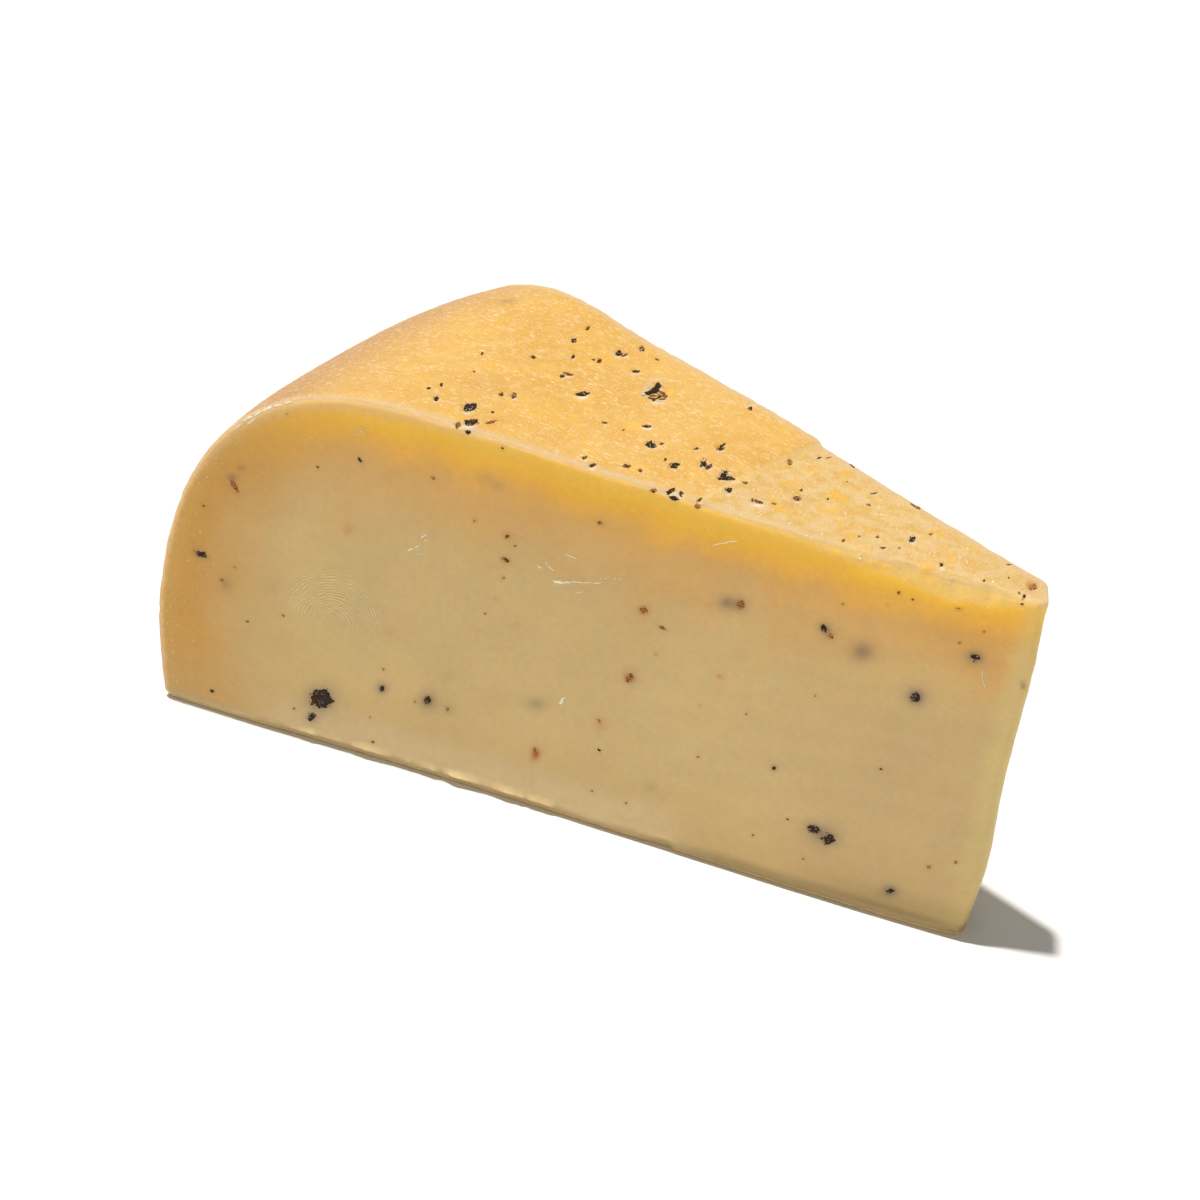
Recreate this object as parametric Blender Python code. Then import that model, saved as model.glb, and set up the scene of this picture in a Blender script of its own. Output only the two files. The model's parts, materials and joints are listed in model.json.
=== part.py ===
"""A wedge of semi-hard cheese, cut from a low round wheel.

The wheel is a turned solid: a nearly flat top, sinking a little towards its
middle, that rolls over a deep rounded shoulder into a side that draws in
slightly at the foot. Two knife cuts take the wedge out of it. They don't quite
meet, so the tip is a narrow blunt nose. The upper edge of the front cut has
broken away along the half next to the tip, the front cut leans outwards to its
foot and turns under just above the floor, and a fold of the pressing cloth has left a shallow step across
the top.

Millimetres in the constants and functions, metres in the meshes, +Z up. The
piece rests on z = 0 with its origin at the middle of the bottom of its box.
+X points at the tip and the front cut faces -Y.
"""

import math

import bmesh
import bpy
from mathutils import Vector, noise

MM = 0.001

# The wheel, turned about its own axis.
WHEEL_RADIUS = 148.0
SHOULDER_HEIGHT = 66.6  # highest ring of the top
CENTRE_HEIGHT = 62.5  # the top at the wheel's middle
SHOULDER_START = 107.0  # radius where the top begins to roll over
SIDE_HEIGHT = 20.0  # where the shoulder's curve meets the side
SHOULDER_POWER = 2.5  # 2 is an ellipse, more is squarer
FOOT_TAPER = 3.0  # how far the side draws in at the foot
FOOT_ROUND = 1.2
WHEEL_STEPS = 200

# The cuts. The front cut runs from the rim along -X to the tip's front corner.
AXIS_OFFSET = (0.4, -1.6)  # the wheel's axis, seen from the tip's front corner
WEDGE_ANGLE = 28.6
NOSE_ANGLE = 79.0  # direction of the blunt nose, from the front cut
NOSE_OFFSET_TOP = 5.5  # how far the rear cut passes behind the tip's front corner
NOSE_OFFSET_BOTTOM = 4.2
NOSE_FRONT_ROUND = 1.1
NOSE_REAR_ROUND = 3.0
REAR_BOW = 0.3  # outward bow of the rear cut at half its length
CUT_LENGTH = 158.0
TIP_REACH = 0.45
TIP_SWELL, TIP_SWELL_AT, TIP_SWELL_WIDTH = 1.0, 14.0, 10.0

# The front cut leans: its foot stands out, most at the tip, and its lower edge
# turns under a little above the floor.
LEAN_RIM, LEAN_TIP, LEAN_WIDTH = 1.7, 3.7, 75.0
LEAN_TOP = 61.0  # height where it is back in the plane of the upper edge
UNDERCUT, UNDERCUT_DEPTH = 1.8, 0.6  # height, and depth as a share of it
TIP_UNDERCUT, TIP_UNDERCUT_WIDTH = 1.2, 4.0

# The broken upper edge of the front cut, distances from the tip.
BREAK_FROM, BREAK_TO = 3.0, 60.0
BREAK_DEEPEST = 15.0
BREAK_DROP = 3.6

# The cloth fold, a line across the top given by two points, and its step.
FOLD_A = (-58.1, 0.8)
FOLD_B = (-43.7, 31.8)
FOLD_STEP = 0.2
FOLD_SWELL = 0.65  # rise of the top on the rim side of the fold, at the rear cut
TOP_UNEVENNESS = 0.15
REAR_LIFT, LIFT_FROM, LIFT_TO = 0.4, 82.0, 68.0  # rise along the rear cut, near the tip

# The wheel is a little out of round: its shoulder dips, then stands out.
DIP, DIP_AT, DIP_WIDTH = 0.75, 12.5, 7.5  # millimetres, degrees from the front cut
BULGE, BULGE_FROM, BULGE_TO = 0.45, 20.0, 28.0


def smoothstep(low, high, value):
    t = min(1.0, max(0.0, (value - low) / (high - low)))
    return t * t * (3.0 - 2.0 * t)


def top_height(radius):
    """Height of the wheel's top, highest where the shoulder begins."""
    rise = SHOULDER_HEIGHT - CENTRE_HEIGHT
    return CENTRE_HEIGHT + rise * min(1.0, radius / SHOULDER_START) ** 1.3


def wheel_profile():
    """Half section of the wheel from the axis over the shoulder to the foot."""
    points = []
    rings = 24
    for i in range(rings):
        radius = SHOULDER_START * i / rings
        points.append((radius, top_height(radius)))
    run = WHEEL_RADIUS - SHOULDER_START
    fall = SHOULDER_HEIGHT - SIDE_HEIGHT
    turns = 22
    for i in range(turns + 1):
        angle = 0.5 * math.pi * i / turns
        out = math.sin(angle) ** (2.0 / SHOULDER_POWER)
        down = math.cos(angle) ** (2.0 / SHOULDER_POWER) if i < turns else 0.0
        points.append((SHOULDER_START + run * out, SIDE_HEIGHT + fall * down))
    for i in range(1, 6):
        height = SIDE_HEIGHT + (FOOT_ROUND - SIDE_HEIGHT) * i / 5
        taper = FOOT_TAPER * ((SIDE_HEIGHT - height) / SIDE_HEIGHT) ** 1.5
        points.append((WHEEL_RADIUS - taper, height))
    foot = points[-1][0] - FOOT_ROUND
    for i in range(1, 4):
        angle = 0.5 * math.pi * i / 3
        points.append(
            (foot + FOOT_ROUND * math.cos(angle), FOOT_ROUND * (1.0 - math.sin(angle)))
        )
    for i in range(1, 7):
        points.append((foot * (1.0 - i / 6.0), 0.0))
    return points


def undercut_height(distance):
    """Height of the lower edge of the front cut, where it turns under."""
    at_tip = TIP_UNDERCUT * math.exp(-((distance / TIP_UNDERCUT_WIDTH) ** 2))
    return UNDERCUT + at_tip - 0.6 * smoothstep(115.0, 140.0, distance)


def front_line(distance, height):
    """How far the front cut stands out from the plane of its upper edge, towards -Y."""
    height = max(height, 0.0)
    lean = LEAN_RIM + LEAN_TIP * math.exp(-((distance / LEAN_WIDTH) ** 2))
    lean *= 1.0 - 0.35 * smoothstep(125.0, WHEEL_RADIUS, distance)
    out = lean * max(0.0, 1.0 - height / LEAN_TOP)
    low = undercut_height(distance)
    out -= UNDERCUT_DEPTH * max(0.0, low - height)
    wave = 0.22 * math.sin(distance / 19.0 + 0.6) * math.sin(height / 14.0 + 0.4)
    return out + wave * smoothstep(0.0, 4.0, distance)


def tip_reach(height):
    """How far the tip's edge stands out towards +X, most near the foot."""
    reach = TIP_REACH * (1.0 - smoothstep(50.0, 60.0, height))
    return reach + TIP_SWELL * math.exp(-(((height - TIP_SWELL_AT) / TIP_SWELL_WIDTH) ** 2))


def rounded(before, corner, after, radius, steps):
    """Points of the arc that rounds a corner of an outline."""
    a = (Vector(before) - Vector(corner)).normalized()
    b = (Vector(after) - Vector(corner)).normalized()
    half = 0.5 * a.angle(b)
    reach = radius / math.tan(half)
    centre = Vector(corner) + (a + b).normalized() * radius / math.sin(half)
    start = Vector(corner) + a * reach - centre
    end = Vector(corner) + b * reach - centre
    turn = start.angle_signed(end)
    points = []
    for i in range(steps + 1):
        angle = -turn * i / steps
        c, s = math.cos(angle), math.sin(angle)
        points.append(
            (centre.x + c * start.x - s * start.y, centre.y + s * start.x + c * start.y)
        )
    return points


def cut_outline(height):
    """Plan outline of what the two cuts leave, at one height, counter-clockwise."""
    theta = math.radians(WEDGE_ANGLE)
    along = Vector((-math.cos(theta), math.sin(theta)))
    outward = Vector((math.sin(theta), math.cos(theta)))
    share = min(1.0, max(0.0, height / CENTRE_HEIGHT))
    offset = NOSE_OFFSET_BOTTOM + (NOSE_OFFSET_TOP - NOSE_OFFSET_BOTTOM) * share

    nose = math.radians(NOSE_ANGLE)
    nose_way = Vector((-math.cos(nose), math.sin(nose)))
    plain_corner = Vector((tip_reach(height), 0.0))
    reach = (offset - plain_corner.dot(outward)) / nose_way.dot(outward)
    rear_corner = plain_corner + nose_way * reach
    stands_out = front_line(0.0, height)
    front_corner = plain_corner - Vector((0.04 * stands_out, stands_out))

    points = []
    stations = 44
    for i in range(stations):
        distance = CUT_LENGTH * (1.0 - i / stations)
        points.append((-distance, -front_line(distance, height)))
    points.pop()
    points += rounded(
        points[-1], front_corner, rear_corner, NOSE_FRONT_ROUND, 4
    )
    points += rounded(
        front_corner, rear_corner, rear_corner + along * 20.0, NOSE_REAR_ROUND, 5
    )
    stations = 14
    for i in range(1, stations + 1):
        travel = 4.0 + (CUT_LENGTH - 4.0) * i / stations
        t = min(1.0, travel / WHEEL_RADIUS)
        bow = REAR_BOW * 4.0 * t * (1.0 - t)
        points.append(tuple(rear_corner + along * travel + outward * bow))
    return points


def new_object(name, mesh):
    obj = bpy.data.objects.new(name, mesh)
    bpy.context.scene.collection.objects.link(obj)
    return obj


def loft(name, loops):
    """A closed mesh through loops of equal count, capped at both ends."""
    bm = bmesh.new()
    rings = [[bm.verts.new(Vector(p) * MM) for p in loop] for loop in loops]
    for low, high in zip(rings, rings[1:]):
        for i in range(len(low)):
            j = (i + 1) % len(low)
            bm.faces.new((low[i], low[j], high[j], high[i]))
    bm.faces.new(rings[0][::-1])
    bm.faces.new(rings[-1])
    bmesh.ops.triangulate(bm, faces=bm.faces[:])
    bmesh.ops.recalc_face_normals(bm, faces=bm.faces[:])
    mesh = bpy.data.meshes.new(name)
    bm.to_mesh(mesh)
    bm.free()
    return new_object(name, mesh)


def cutter(obj):
    obj.hide_render = True
    obj.display_type = "WIRE"
    return obj


def make_wheel():
    """The whole wheel, turned from its half section."""
    profile = wheel_profile()
    bm = bmesh.new()
    verts = [bm.verts.new((r * MM, 0.0, z * MM)) for r, z in profile]
    for a, b in zip(verts, verts[1:]):
        bm.edges.new((a, b))
    mesh = bpy.data.meshes.new("wheel")
    bm.to_mesh(mesh)
    bm.free()
    wheel = new_object("cheese_wedge", mesh)
    wheel.location = (AXIS_OFFSET[0] * MM, AXIS_OFFSET[1] * MM, 0.0)
    turn = wheel.modifiers.new("turn", "SCREW")
    turn.axis = "Z"
    turn.angle = 2.0 * math.pi
    turn.steps = WHEEL_STEPS
    turn.render_steps = WHEEL_STEPS
    turn.use_merge_vertices = True
    turn.merge_threshold = 0.00001
    turn.use_smooth_shade = True
    return wheel


def make_cut_block():
    """What lies between the two cuts, lofted through its outline at rising heights."""
    heights = (-4.0, 0.0, 1.2, 1.8, 3.0, 7.0, 12.0, 18.0, 26.0, 36.0, 48.0, 58.0, 61.0, 74.0)
    return cutter(
        loft(
            "cut_block",
            [[(x, y, z) for x, y in cut_outline(z)] for z in heights],
        )
    )


def break_drop(distance):
    """How far down the front cut the broken edge reaches, at a distance from the tip."""
    if distance < BREAK_DEEPEST:
        depth = smoothstep(BREAK_FROM - 6.0, BREAK_DEEPEST, distance)
    else:
        depth = 1.0 - 0.75 * smoothstep(BREAK_DEEPEST, BREAK_TO, distance)
    flakes = 0.35 * math.sin(distance * 0.55) + 0.2 * math.sin(distance * 1.15 + 1.0)
    return max(0.3, BREAK_DROP * depth + flakes * depth)


def make_break():
    """The slanting sliver that broke off the front cut's upper edge."""
    loops = []
    stations = 30
    for i in range(stations + 1):
        distance = BREAK_FROM + (BREAK_TO - BREAK_FROM) * i / stations
        fade = smoothstep(BREAK_FROM - 1.0, BREAK_FROM + 5.0, distance)
        fade *= 1.0 - smoothstep(BREAK_TO - 8.0, BREAK_TO + 1.0, distance)
        drop = break_drop(distance) * fade + 0.02
        width = (0.55 + 0.45 * drop + 0.2 * math.sin(distance * 0.8)) * fade + 0.02
        crest = top_height(distance) + 0.05
        out = -front_line(distance, crest)
        slope = Vector((width, drop)).normalized()
        upper = Vector((out + width, crest)) + slope * 3.0
        lower = Vector((out, crest - drop)) - slope * 3.0
        corner = Vector((lower.x - 1.0, upper.y + 1.0))
        loops.append([(-distance, p.x, p.y) for p in (lower, upper, corner)])
    return cutter(loft("broken_edge", loops))


def cut(obj, name, operation, other):
    step = obj.modifiers.new(name, "BOOLEAN")
    step.operation = operation
    step.solver = "EXACT"
    step.object = other


def relief(x, y):
    """Height change of the top at a point: the cloth fold's step and slight hollows."""
    ax, ay = FOLD_A
    bx, by = FOLD_B
    length = math.hypot(bx - ax, by - ay)
    side = ((bx - ax) * (y - ay) - (by - ay) * (x - ax)) / length
    step = -FOLD_STEP * smoothstep(-1.5, 1.5, -side)
    step *= 1.0 - smoothstep(30.0, 58.0, -side)
    swell = FOLD_SWELL * smoothstep(-1.0, 1.5, side) * smoothstep(8.0, 27.0, y)
    step += swell * (1.0 - smoothstep(9.0, 30.0, side))
    theta = math.radians(WEDGE_ANGLE)
    behind = x * math.sin(theta) + y * math.cos(theta)
    step += REAR_LIFT * smoothstep(-9.0, 4.0, behind) * smoothstep(-LIFT_FROM, -LIFT_TO, x)
    uneven = noise.noise(Vector((x / 17.0, y / 17.0, 3.7)))
    return step + TOP_UNEVENNESS * uneven


def out_of_round(x, y, z):
    """How far a point of the shoulder moves, along the wheel's radius and upwards."""
    dx, dy = x - AXIS_OFFSET[0], y - AXIS_OFFSET[1]
    radius = math.hypot(dx, dy)
    turn = math.degrees(math.atan2(dy, -dx))
    amount = -DIP * math.exp(-(((turn - DIP_AT) / DIP_WIDTH) ** 2))
    amount += BULGE * smoothstep(BULGE_FROM, BULGE_TO, turn)
    amount *= smoothstep(96.0, 122.0, radius) * smoothstep(12.0, 34.0, z)
    out = max(0.0, (radius - SHOULDER_START) / (WHEEL_RADIUS - SHOULDER_START))
    up = max(0.0, (z - SIDE_HEIGHT) / (SHOULDER_HEIGHT - SIDE_HEIGHT))
    size = max(1e-6, math.hypot(out, up))
    along = amount * out / size / max(radius, 1.0)
    return along * dx, along * dy, amount * up / size


def material():
    paste = bpy.data.materials.new("cheese_paste")
    paste.use_nodes = True
    shader = paste.node_tree.nodes["Principled BSDF"]
    shader.inputs["Base Color"].default_value = (0.72, 0.47, 0.17, 1.0)
    shader.inputs["Roughness"].default_value = 0.5
    shader.inputs["Metallic"].default_value = 0.0
    return paste


def main():
    for obj in list(bpy.data.objects):
        bpy.data.objects.remove(obj, do_unlink=True)

    wedge = make_wheel()
    block = make_cut_block()
    chip = make_break()
    cut(wedge, "two_cuts", "INTERSECT", block)
    cut(wedge, "broken_edge", "DIFFERENCE", chip)

    bpy.context.view_layer.update()
    graph = bpy.context.evaluated_depsgraph_get()
    made = bpy.data.meshes.new_from_object(wedge.evaluated_get(graph))
    made.transform(wedge.matrix_world)
    wedge.modifiers.clear()
    wedge.location = (0.0, 0.0, 0.0)
    wedge.data = made
    for helper in (block, chip):
        bpy.data.objects.remove(helper, do_unlink=True)

    bm = bmesh.new()
    bm.from_mesh(made)
    bmesh.ops.triangulate(bm, faces=bm.faces[:])
    for vert in bm.verts:
        x, y, z = (c / MM for c in vert.co)
        radius = math.hypot(x - AXIS_OFFSET[0], y - AXIS_OFFSET[1])
        crest = top_height(radius)
        share = smoothstep(crest - 9.0, crest - 0.5, z)
        share *= 1.0 - smoothstep(SHOULDER_START, SHOULDER_START + 20.0, radius)
        vert.co.z += relief(x, y) * share * MM
        vert.co += Vector(out_of_round(x, y, z)) * MM
    low = Vector(min(v.co[i] for v in bm.verts) for i in range(3))
    high = Vector(max(v.co[i] for v in bm.verts) for i in range(3))
    shift = Vector((0.5 * (low.x + high.x), 0.5 * (low.y + high.y), low.z))
    for vert in bm.verts:
        vert.co -= shift
    bm.to_mesh(made)
    bm.free()

    made.materials.clear()
    made.materials.append(material())
    made.shade_smooth()
    made.set_sharp_from_angle(angle=math.radians(35.0))


main()
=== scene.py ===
"""Looks of the cheese wedge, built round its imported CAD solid.

The wedge is one closed mesh in three sheets that share their edges: the rind,
the cut wall (front cut, blunt nose, rear cut) and the underside. Relief is real
geometry; the cloth's fine weave and the grain of the paste are bump. Flecks and
crumbs are joined meshes, one piece for each kind.

Millimetres with the tip's front corner on the floor as origin, -X towards the
rim, +Y into the cheese, +Z up; SHIFT takes them to the part's own frame.
"""

import json
import math

import bpy  # noqa: E402
import numpy as np  # noqa: E402
from mathutils import Matrix, Vector, geometry, kdtree  # noqa: E402
from mathutils.noise import noise as perlin  # noqa: E402
from mathutils.bvhtree import BVHTree  # noqa: E402

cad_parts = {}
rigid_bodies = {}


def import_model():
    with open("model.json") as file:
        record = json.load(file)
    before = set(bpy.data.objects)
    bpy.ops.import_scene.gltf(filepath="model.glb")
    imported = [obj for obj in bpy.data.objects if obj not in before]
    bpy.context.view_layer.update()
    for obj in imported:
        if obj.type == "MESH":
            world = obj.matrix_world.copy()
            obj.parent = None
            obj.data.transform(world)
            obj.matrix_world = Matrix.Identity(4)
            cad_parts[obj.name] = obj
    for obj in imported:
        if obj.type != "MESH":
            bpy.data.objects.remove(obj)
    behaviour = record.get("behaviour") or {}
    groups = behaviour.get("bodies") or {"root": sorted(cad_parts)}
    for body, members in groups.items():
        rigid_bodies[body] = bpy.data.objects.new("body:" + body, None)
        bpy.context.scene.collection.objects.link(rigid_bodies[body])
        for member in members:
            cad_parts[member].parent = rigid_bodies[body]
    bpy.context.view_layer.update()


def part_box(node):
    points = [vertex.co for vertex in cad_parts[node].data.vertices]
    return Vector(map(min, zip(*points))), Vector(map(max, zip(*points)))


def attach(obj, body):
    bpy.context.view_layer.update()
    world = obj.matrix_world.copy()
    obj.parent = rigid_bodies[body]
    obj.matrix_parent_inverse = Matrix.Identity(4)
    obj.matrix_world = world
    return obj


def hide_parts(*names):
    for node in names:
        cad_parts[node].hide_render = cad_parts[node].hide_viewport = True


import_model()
NODE = "cheese_wedge"
MM = 0.001
LOW, HIGH = (np.array(c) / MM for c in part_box(NODE))
SHIFT = np.array((LOW[0] + 147.583, HIGH[1] - 74.5548, 0.0))

# --- sizes of the wheel and the cuts ---------------------------------------
AXIS = np.array((0.4, -1.6))
CENTRE_HEIGHT, SHOULDER_HEIGHT, SHOULDER_START = 62.5, 66.6, 107.0
WHEEL_RADIUS, SIDE_HEIGHT, SHOULDER_POWER = 148.0, 20.0, 2.5
FOOT_TAPER, FOOT_ROUND = 3.0, 1.2
WEDGE_ANGLE, NOSE_ANGLE = math.radians(28.6), math.radians(79.0)
NOSE_OFFSET_BOTTOM, NOSE_OFFSET_TOP = 4.2, 5.5
NOSE_FRONT_ROUND, NOSE_REAR_ROUND = 1.1, 3.0
REAR_BOW, CUT_LENGTH = 0.3, 158.0
LEAN_RIM, LEAN_TIP, LEAN_WIDTH, LEAN_TOP = 1.7, 3.7, 75.0, 61.0
UNDERCUT, UNDERCUT_DEPTH = 1.8, 0.6
# The marks below were placed on the upright plane through the upper edge, seen from here.
SEEN_FROM = np.array((10.5, -421.6, 287.9))
FOLD_A, FOLD_B, FOLD_STEP = np.array((-58.1, 0.8)), np.array((-43.7, 31.8)), 0.2
FOLD_SWELL, UNEVEN, REAR_LIFT = 0.65, 0.15, 0.4

RIND_STEP, FRONT_STEP, REAR_STEP, UNDER_STEP = 0.5, 0.72, 1.0, 1.25
TOP_FILLET, FOOT_FILLET = 0.4, 0.28


def sstep(low, high, v):
    t = np.clip((np.asarray(v, float) - low) / (high - low), 0.0, 1.0)
    return t * t * (3.0 - 2.0 * t)


def bell(v, width):
    return np.exp(-((np.asarray(v, float) / width) ** 2))


# --- seeded lattice noise ---------------------------------------------------
def hashed(ix, iy, iz, seed):
    h = (ix.astype(np.int64) * 73856093) ^ (iy.astype(np.int64) * 19349663)
    h ^= (iz.astype(np.int64) * 83492791) ^ (seed * 40503)
    h &= 0xFFFFFFFF
    h = ((h ^ (h >> 15)) * 2246822519) & 0xFFFFFFFF
    h = ((h ^ (h >> 13)) * 3266489917) & 0xFFFFFFFF
    h ^= h >> 16
    return h / 2147483647.5 - 1.0


def noise(points, size, seed=0):
    """Smooth value noise in -1..1 over blobs of this size."""
    p = np.asarray(points, float) / size
    if p.shape[1] == 2:
        p = np.column_stack((p, np.zeros(len(p)) + 0.37))
    i = np.floor(p).astype(np.int64)
    f = p - i
    f = f * f * f * (f * (f * 6 - 15) + 10)
    total = np.zeros(len(p))
    for a in (0, 1):
        for b in (0, 1):
            for c in (0, 1):
                w = (f[:, 0] if a else 1 - f[:, 0]) * (f[:, 1] if b else 1 - f[:, 1])
                w = w * (f[:, 2] if c else 1 - f[:, 2])
                total += w * hashed(i[:, 0] + a, i[:, 1] + b, i[:, 2] + c, seed)
    return total


def fractal(points, size, octaves=3, seed=0):
    total, weight, norm = np.zeros(len(points)), 1.0, 0.0
    for k in range(octaves):
        total += weight * noise(points, size / 2**k, seed + 17 * k)
        norm += weight
        weight *= 0.5
    return total / norm


# --- the wheel's half section, by its arc length ------------------------------
def top_height(radius):
    rise = SHOULDER_HEIGHT - CENTRE_HEIGHT
    return CENTRE_HEIGHT + rise * np.minimum(1.0, radius / SHOULDER_START) ** 1.3


def half_section():
    r = [np.linspace(0.0, SHOULDER_START, 600, endpoint=False)]
    z = [top_height(r[0])]
    t = np.linspace(0.0, 0.5 * math.pi, 700)
    power = 2.0 / SHOULDER_POWER
    r.append(SHOULDER_START + (WHEEL_RADIUS - SHOULDER_START) * np.sin(t) ** power)
    fall = SHOULDER_HEIGHT - SIDE_HEIGHT
    z.append(SIDE_HEIGHT + fall * np.abs(np.cos(t)) ** power)
    h = np.linspace(SIDE_HEIGHT, FOOT_ROUND, 200)[1:]
    r.append(WHEEL_RADIUS - FOOT_TAPER * ((SIDE_HEIGHT - h) / SIDE_HEIGHT) ** 1.5)
    z.append(h)
    t = np.linspace(0.0, 0.5 * math.pi, 40)[1:]
    foot = r[-1][-1] - FOOT_ROUND
    r.append(foot + FOOT_ROUND * np.cos(t))
    z.append(FOOT_ROUND * (1.0 - np.sin(t)))
    r, z = np.concatenate(r), np.concatenate(z)
    s = np.concatenate(([0.0], np.cumsum(np.hypot(np.diff(r), np.diff(z)))))
    return s, r, z


SEC_S, SEC_R, SEC_Z = half_section()
SEC_END = SEC_S[-1]
SEC_NR = -np.gradient(SEC_Z, SEC_S)
SEC_NZ = np.gradient(SEC_R, SEC_S)


def rind_point(uv):
    """Rind chart to space, and the outward normal. u, v are polar about the axis."""
    s = np.hypot(uv[:, 0], uv[:, 1]) + 1e-9
    c, d = -uv[:, 0] / s, uv[:, 1] / s
    r = np.interp(s, SEC_S, SEC_R)
    p = np.column_stack((AXIS[0] - r * c, AXIS[1] + r * d, np.interp(s, SEC_S, SEC_Z)))
    nr, nz = np.interp(s, SEC_S, SEC_NR), np.interp(s, SEC_S, SEC_NZ)
    n = np.column_stack((-nr * c, nr * d, nz))
    return p, n / np.linalg.norm(n, axis=1)[:, None]


def rind_chart(p, s):
    """Chart place of a point on the rind whose arc length is s."""
    d = p[:, :2] - AXIS
    r = np.hypot(d[:, 0], d[:, 1]) + 1e-9
    return np.column_stack((d[:, 0] / r * s, d[:, 1] / r * s))


# --- the cut wall: front cut, nose, rear cut ----------------------------------
def undercut_height(distance):
    high = UNDERCUT + 1.2 * bell(distance, 4.0) - 0.6 * sstep(115.0, 140.0, distance)
    return high + 0.9 * sstep(50.4, 51.6, distance) * (1.0 - sstep(51.6, 59.0, distance))


def front_line(distance, height):
    distance, height = np.maximum(distance, 0.0), np.maximum(height, 0.0)
    lean = LEAN_RIM + LEAN_TIP * bell(distance, LEAN_WIDTH)
    lean = lean * (1.0 - 0.35 * sstep(125.0, WHEEL_RADIUS, distance))
    out = lean * np.maximum(0.0, 1.0 - height / LEAN_TOP)
    under = undercut_height(distance) - height
    out = out - UNDERCUT_DEPTH * 0.5 * (under + np.sqrt(under * under + 0.5))
    wave = 0.22 * np.sin(distance / 19.0 + 0.6) * np.sin(height / 14.0 + 0.4)
    return out + wave * sstep(0.0, 4.0, distance)


def on_upright(p):
    """Distances and heights of points carried onto the upright plane along the view."""
    away = p - SEEN_FROM
    q = p - away * (p[:, 1] / away[:, 1])[:, None]
    return np.column_stack((-q[:, 0], q[:, 2]))


def arc(before, corner, after, radius, steps):
    a, b = before - corner, after - corner
    a, b = a / np.linalg.norm(a), b / np.linalg.norm(b)
    half = 0.5 * math.acos(float(a @ b))
    middle = (a + b) / np.linalg.norm(a + b)
    centre = corner + middle * radius / math.sin(half)
    reach = radius / math.tan(half)
    start = corner + a * reach - centre
    turn = math.pi - 2.0 * half
    points = []
    for i in range(steps + 1):
        c, s = math.cos(turn * i / steps), math.sin(turn * i / steps)
        points.append(centre + (c * start[0] - s * start[1], s * start[0] + c * start[1]))
    return np.array(points)


def outline(offset):
    along = np.array((-math.cos(WEDGE_ANGLE), math.sin(WEDGE_ANGLE)))
    outward = np.array((math.sin(WEDGE_ANGLE), math.cos(WEDGE_ANGLE)))
    way = np.array((-math.cos(NOSE_ANGLE), math.sin(NOSE_ANGLE)))
    front, rear = np.zeros(2), way * (offset / float(way @ outward))
    first = arc(np.array((-10.0, 0.0)), front, rear, NOSE_FRONT_ROUND, 12)
    second = arc(front, rear, rear + along * 20.0, NOSE_REAR_ROUND, 24)
    x = np.linspace(-CUT_LENGTH, first[0][0], 900, endpoint=False)
    t = np.linspace(0.0, 1.0, 12)[1:-1, None]
    nose = first[-1] * (1 - t) + second[0] * t
    start = float((second[-1] - rear) @ along)
    travel = np.linspace(start, CUT_LENGTH, 901)[1:]
    share = np.minimum(1.0, travel / WHEEL_RADIUS)
    bow = REAR_BOW * 4.0 * share * (1.0 - share) * sstep(start, start + 6.0, travel)
    back = rear + travel[:, None] * along + bow[:, None] * outward
    return np.concatenate((np.column_stack((x, 0 * x)), first, nose, second, back))


LINE_LOW, LINE_HIGH = outline(NOSE_OFFSET_BOTTOM), outline(NOSE_OFFSET_TOP)
_middle = 0.5 * (LINE_LOW + LINE_HIGH)
LINE_A = np.concatenate(([0.0], np.cumsum(np.hypot(*np.diff(_middle, axis=0).T))))
LINE_A -= LINE_A[900]  # zero where the front cut begins to turn into the nose
NOSE_END = LINE_A[900 + 13 + 10 + 25]


def tip_reach(z):
    return 0.45 * (1.0 - sstep(50.0, 60.0, z)) + 1.0 * bell(z - 14.0, 10.0)


def wall_base(az):
    a, z = az[:, 0], az[:, 1]
    t = np.clip(z / CENTRE_HEIGHT, 0.0, 1.0)
    x = np.interp(a, LINE_A, LINE_LOW[:, 0]) * (1 - t)
    x += np.interp(a, LINE_A, LINE_HIGH[:, 0]) * t
    y = np.interp(a, LINE_A, LINE_LOW[:, 1]) * (1 - t)
    y += np.interp(a, LINE_A, LINE_HIGH[:, 1]) * t
    across = 1.0 - np.clip(a / (NOSE_END - 3.5), 0.0, 1.0)
    stands_out = front_line(-x * (a < 0.0), z) * across
    y = y - stands_out
    x = x + tip_reach(z) * sstep(-9.0, 0.0, a) * (1.0 - sstep(NOSE_END - 4.0, NOSE_END, a))
    x = x - 0.04 * stands_out * sstep(-9.0, 0.0, a)
    return np.column_stack((x, y, z))


def wall_point(az):
    da, dz = np.array((0.06, 0.0)), np.array((0.0, 0.06))
    n = np.cross(wall_base(az + da) - wall_base(az - da), wall_base(az + dz) - wall_base(az - dz))
    return wall_base(az), n / np.linalg.norm(n, axis=1)[:, None]


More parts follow.
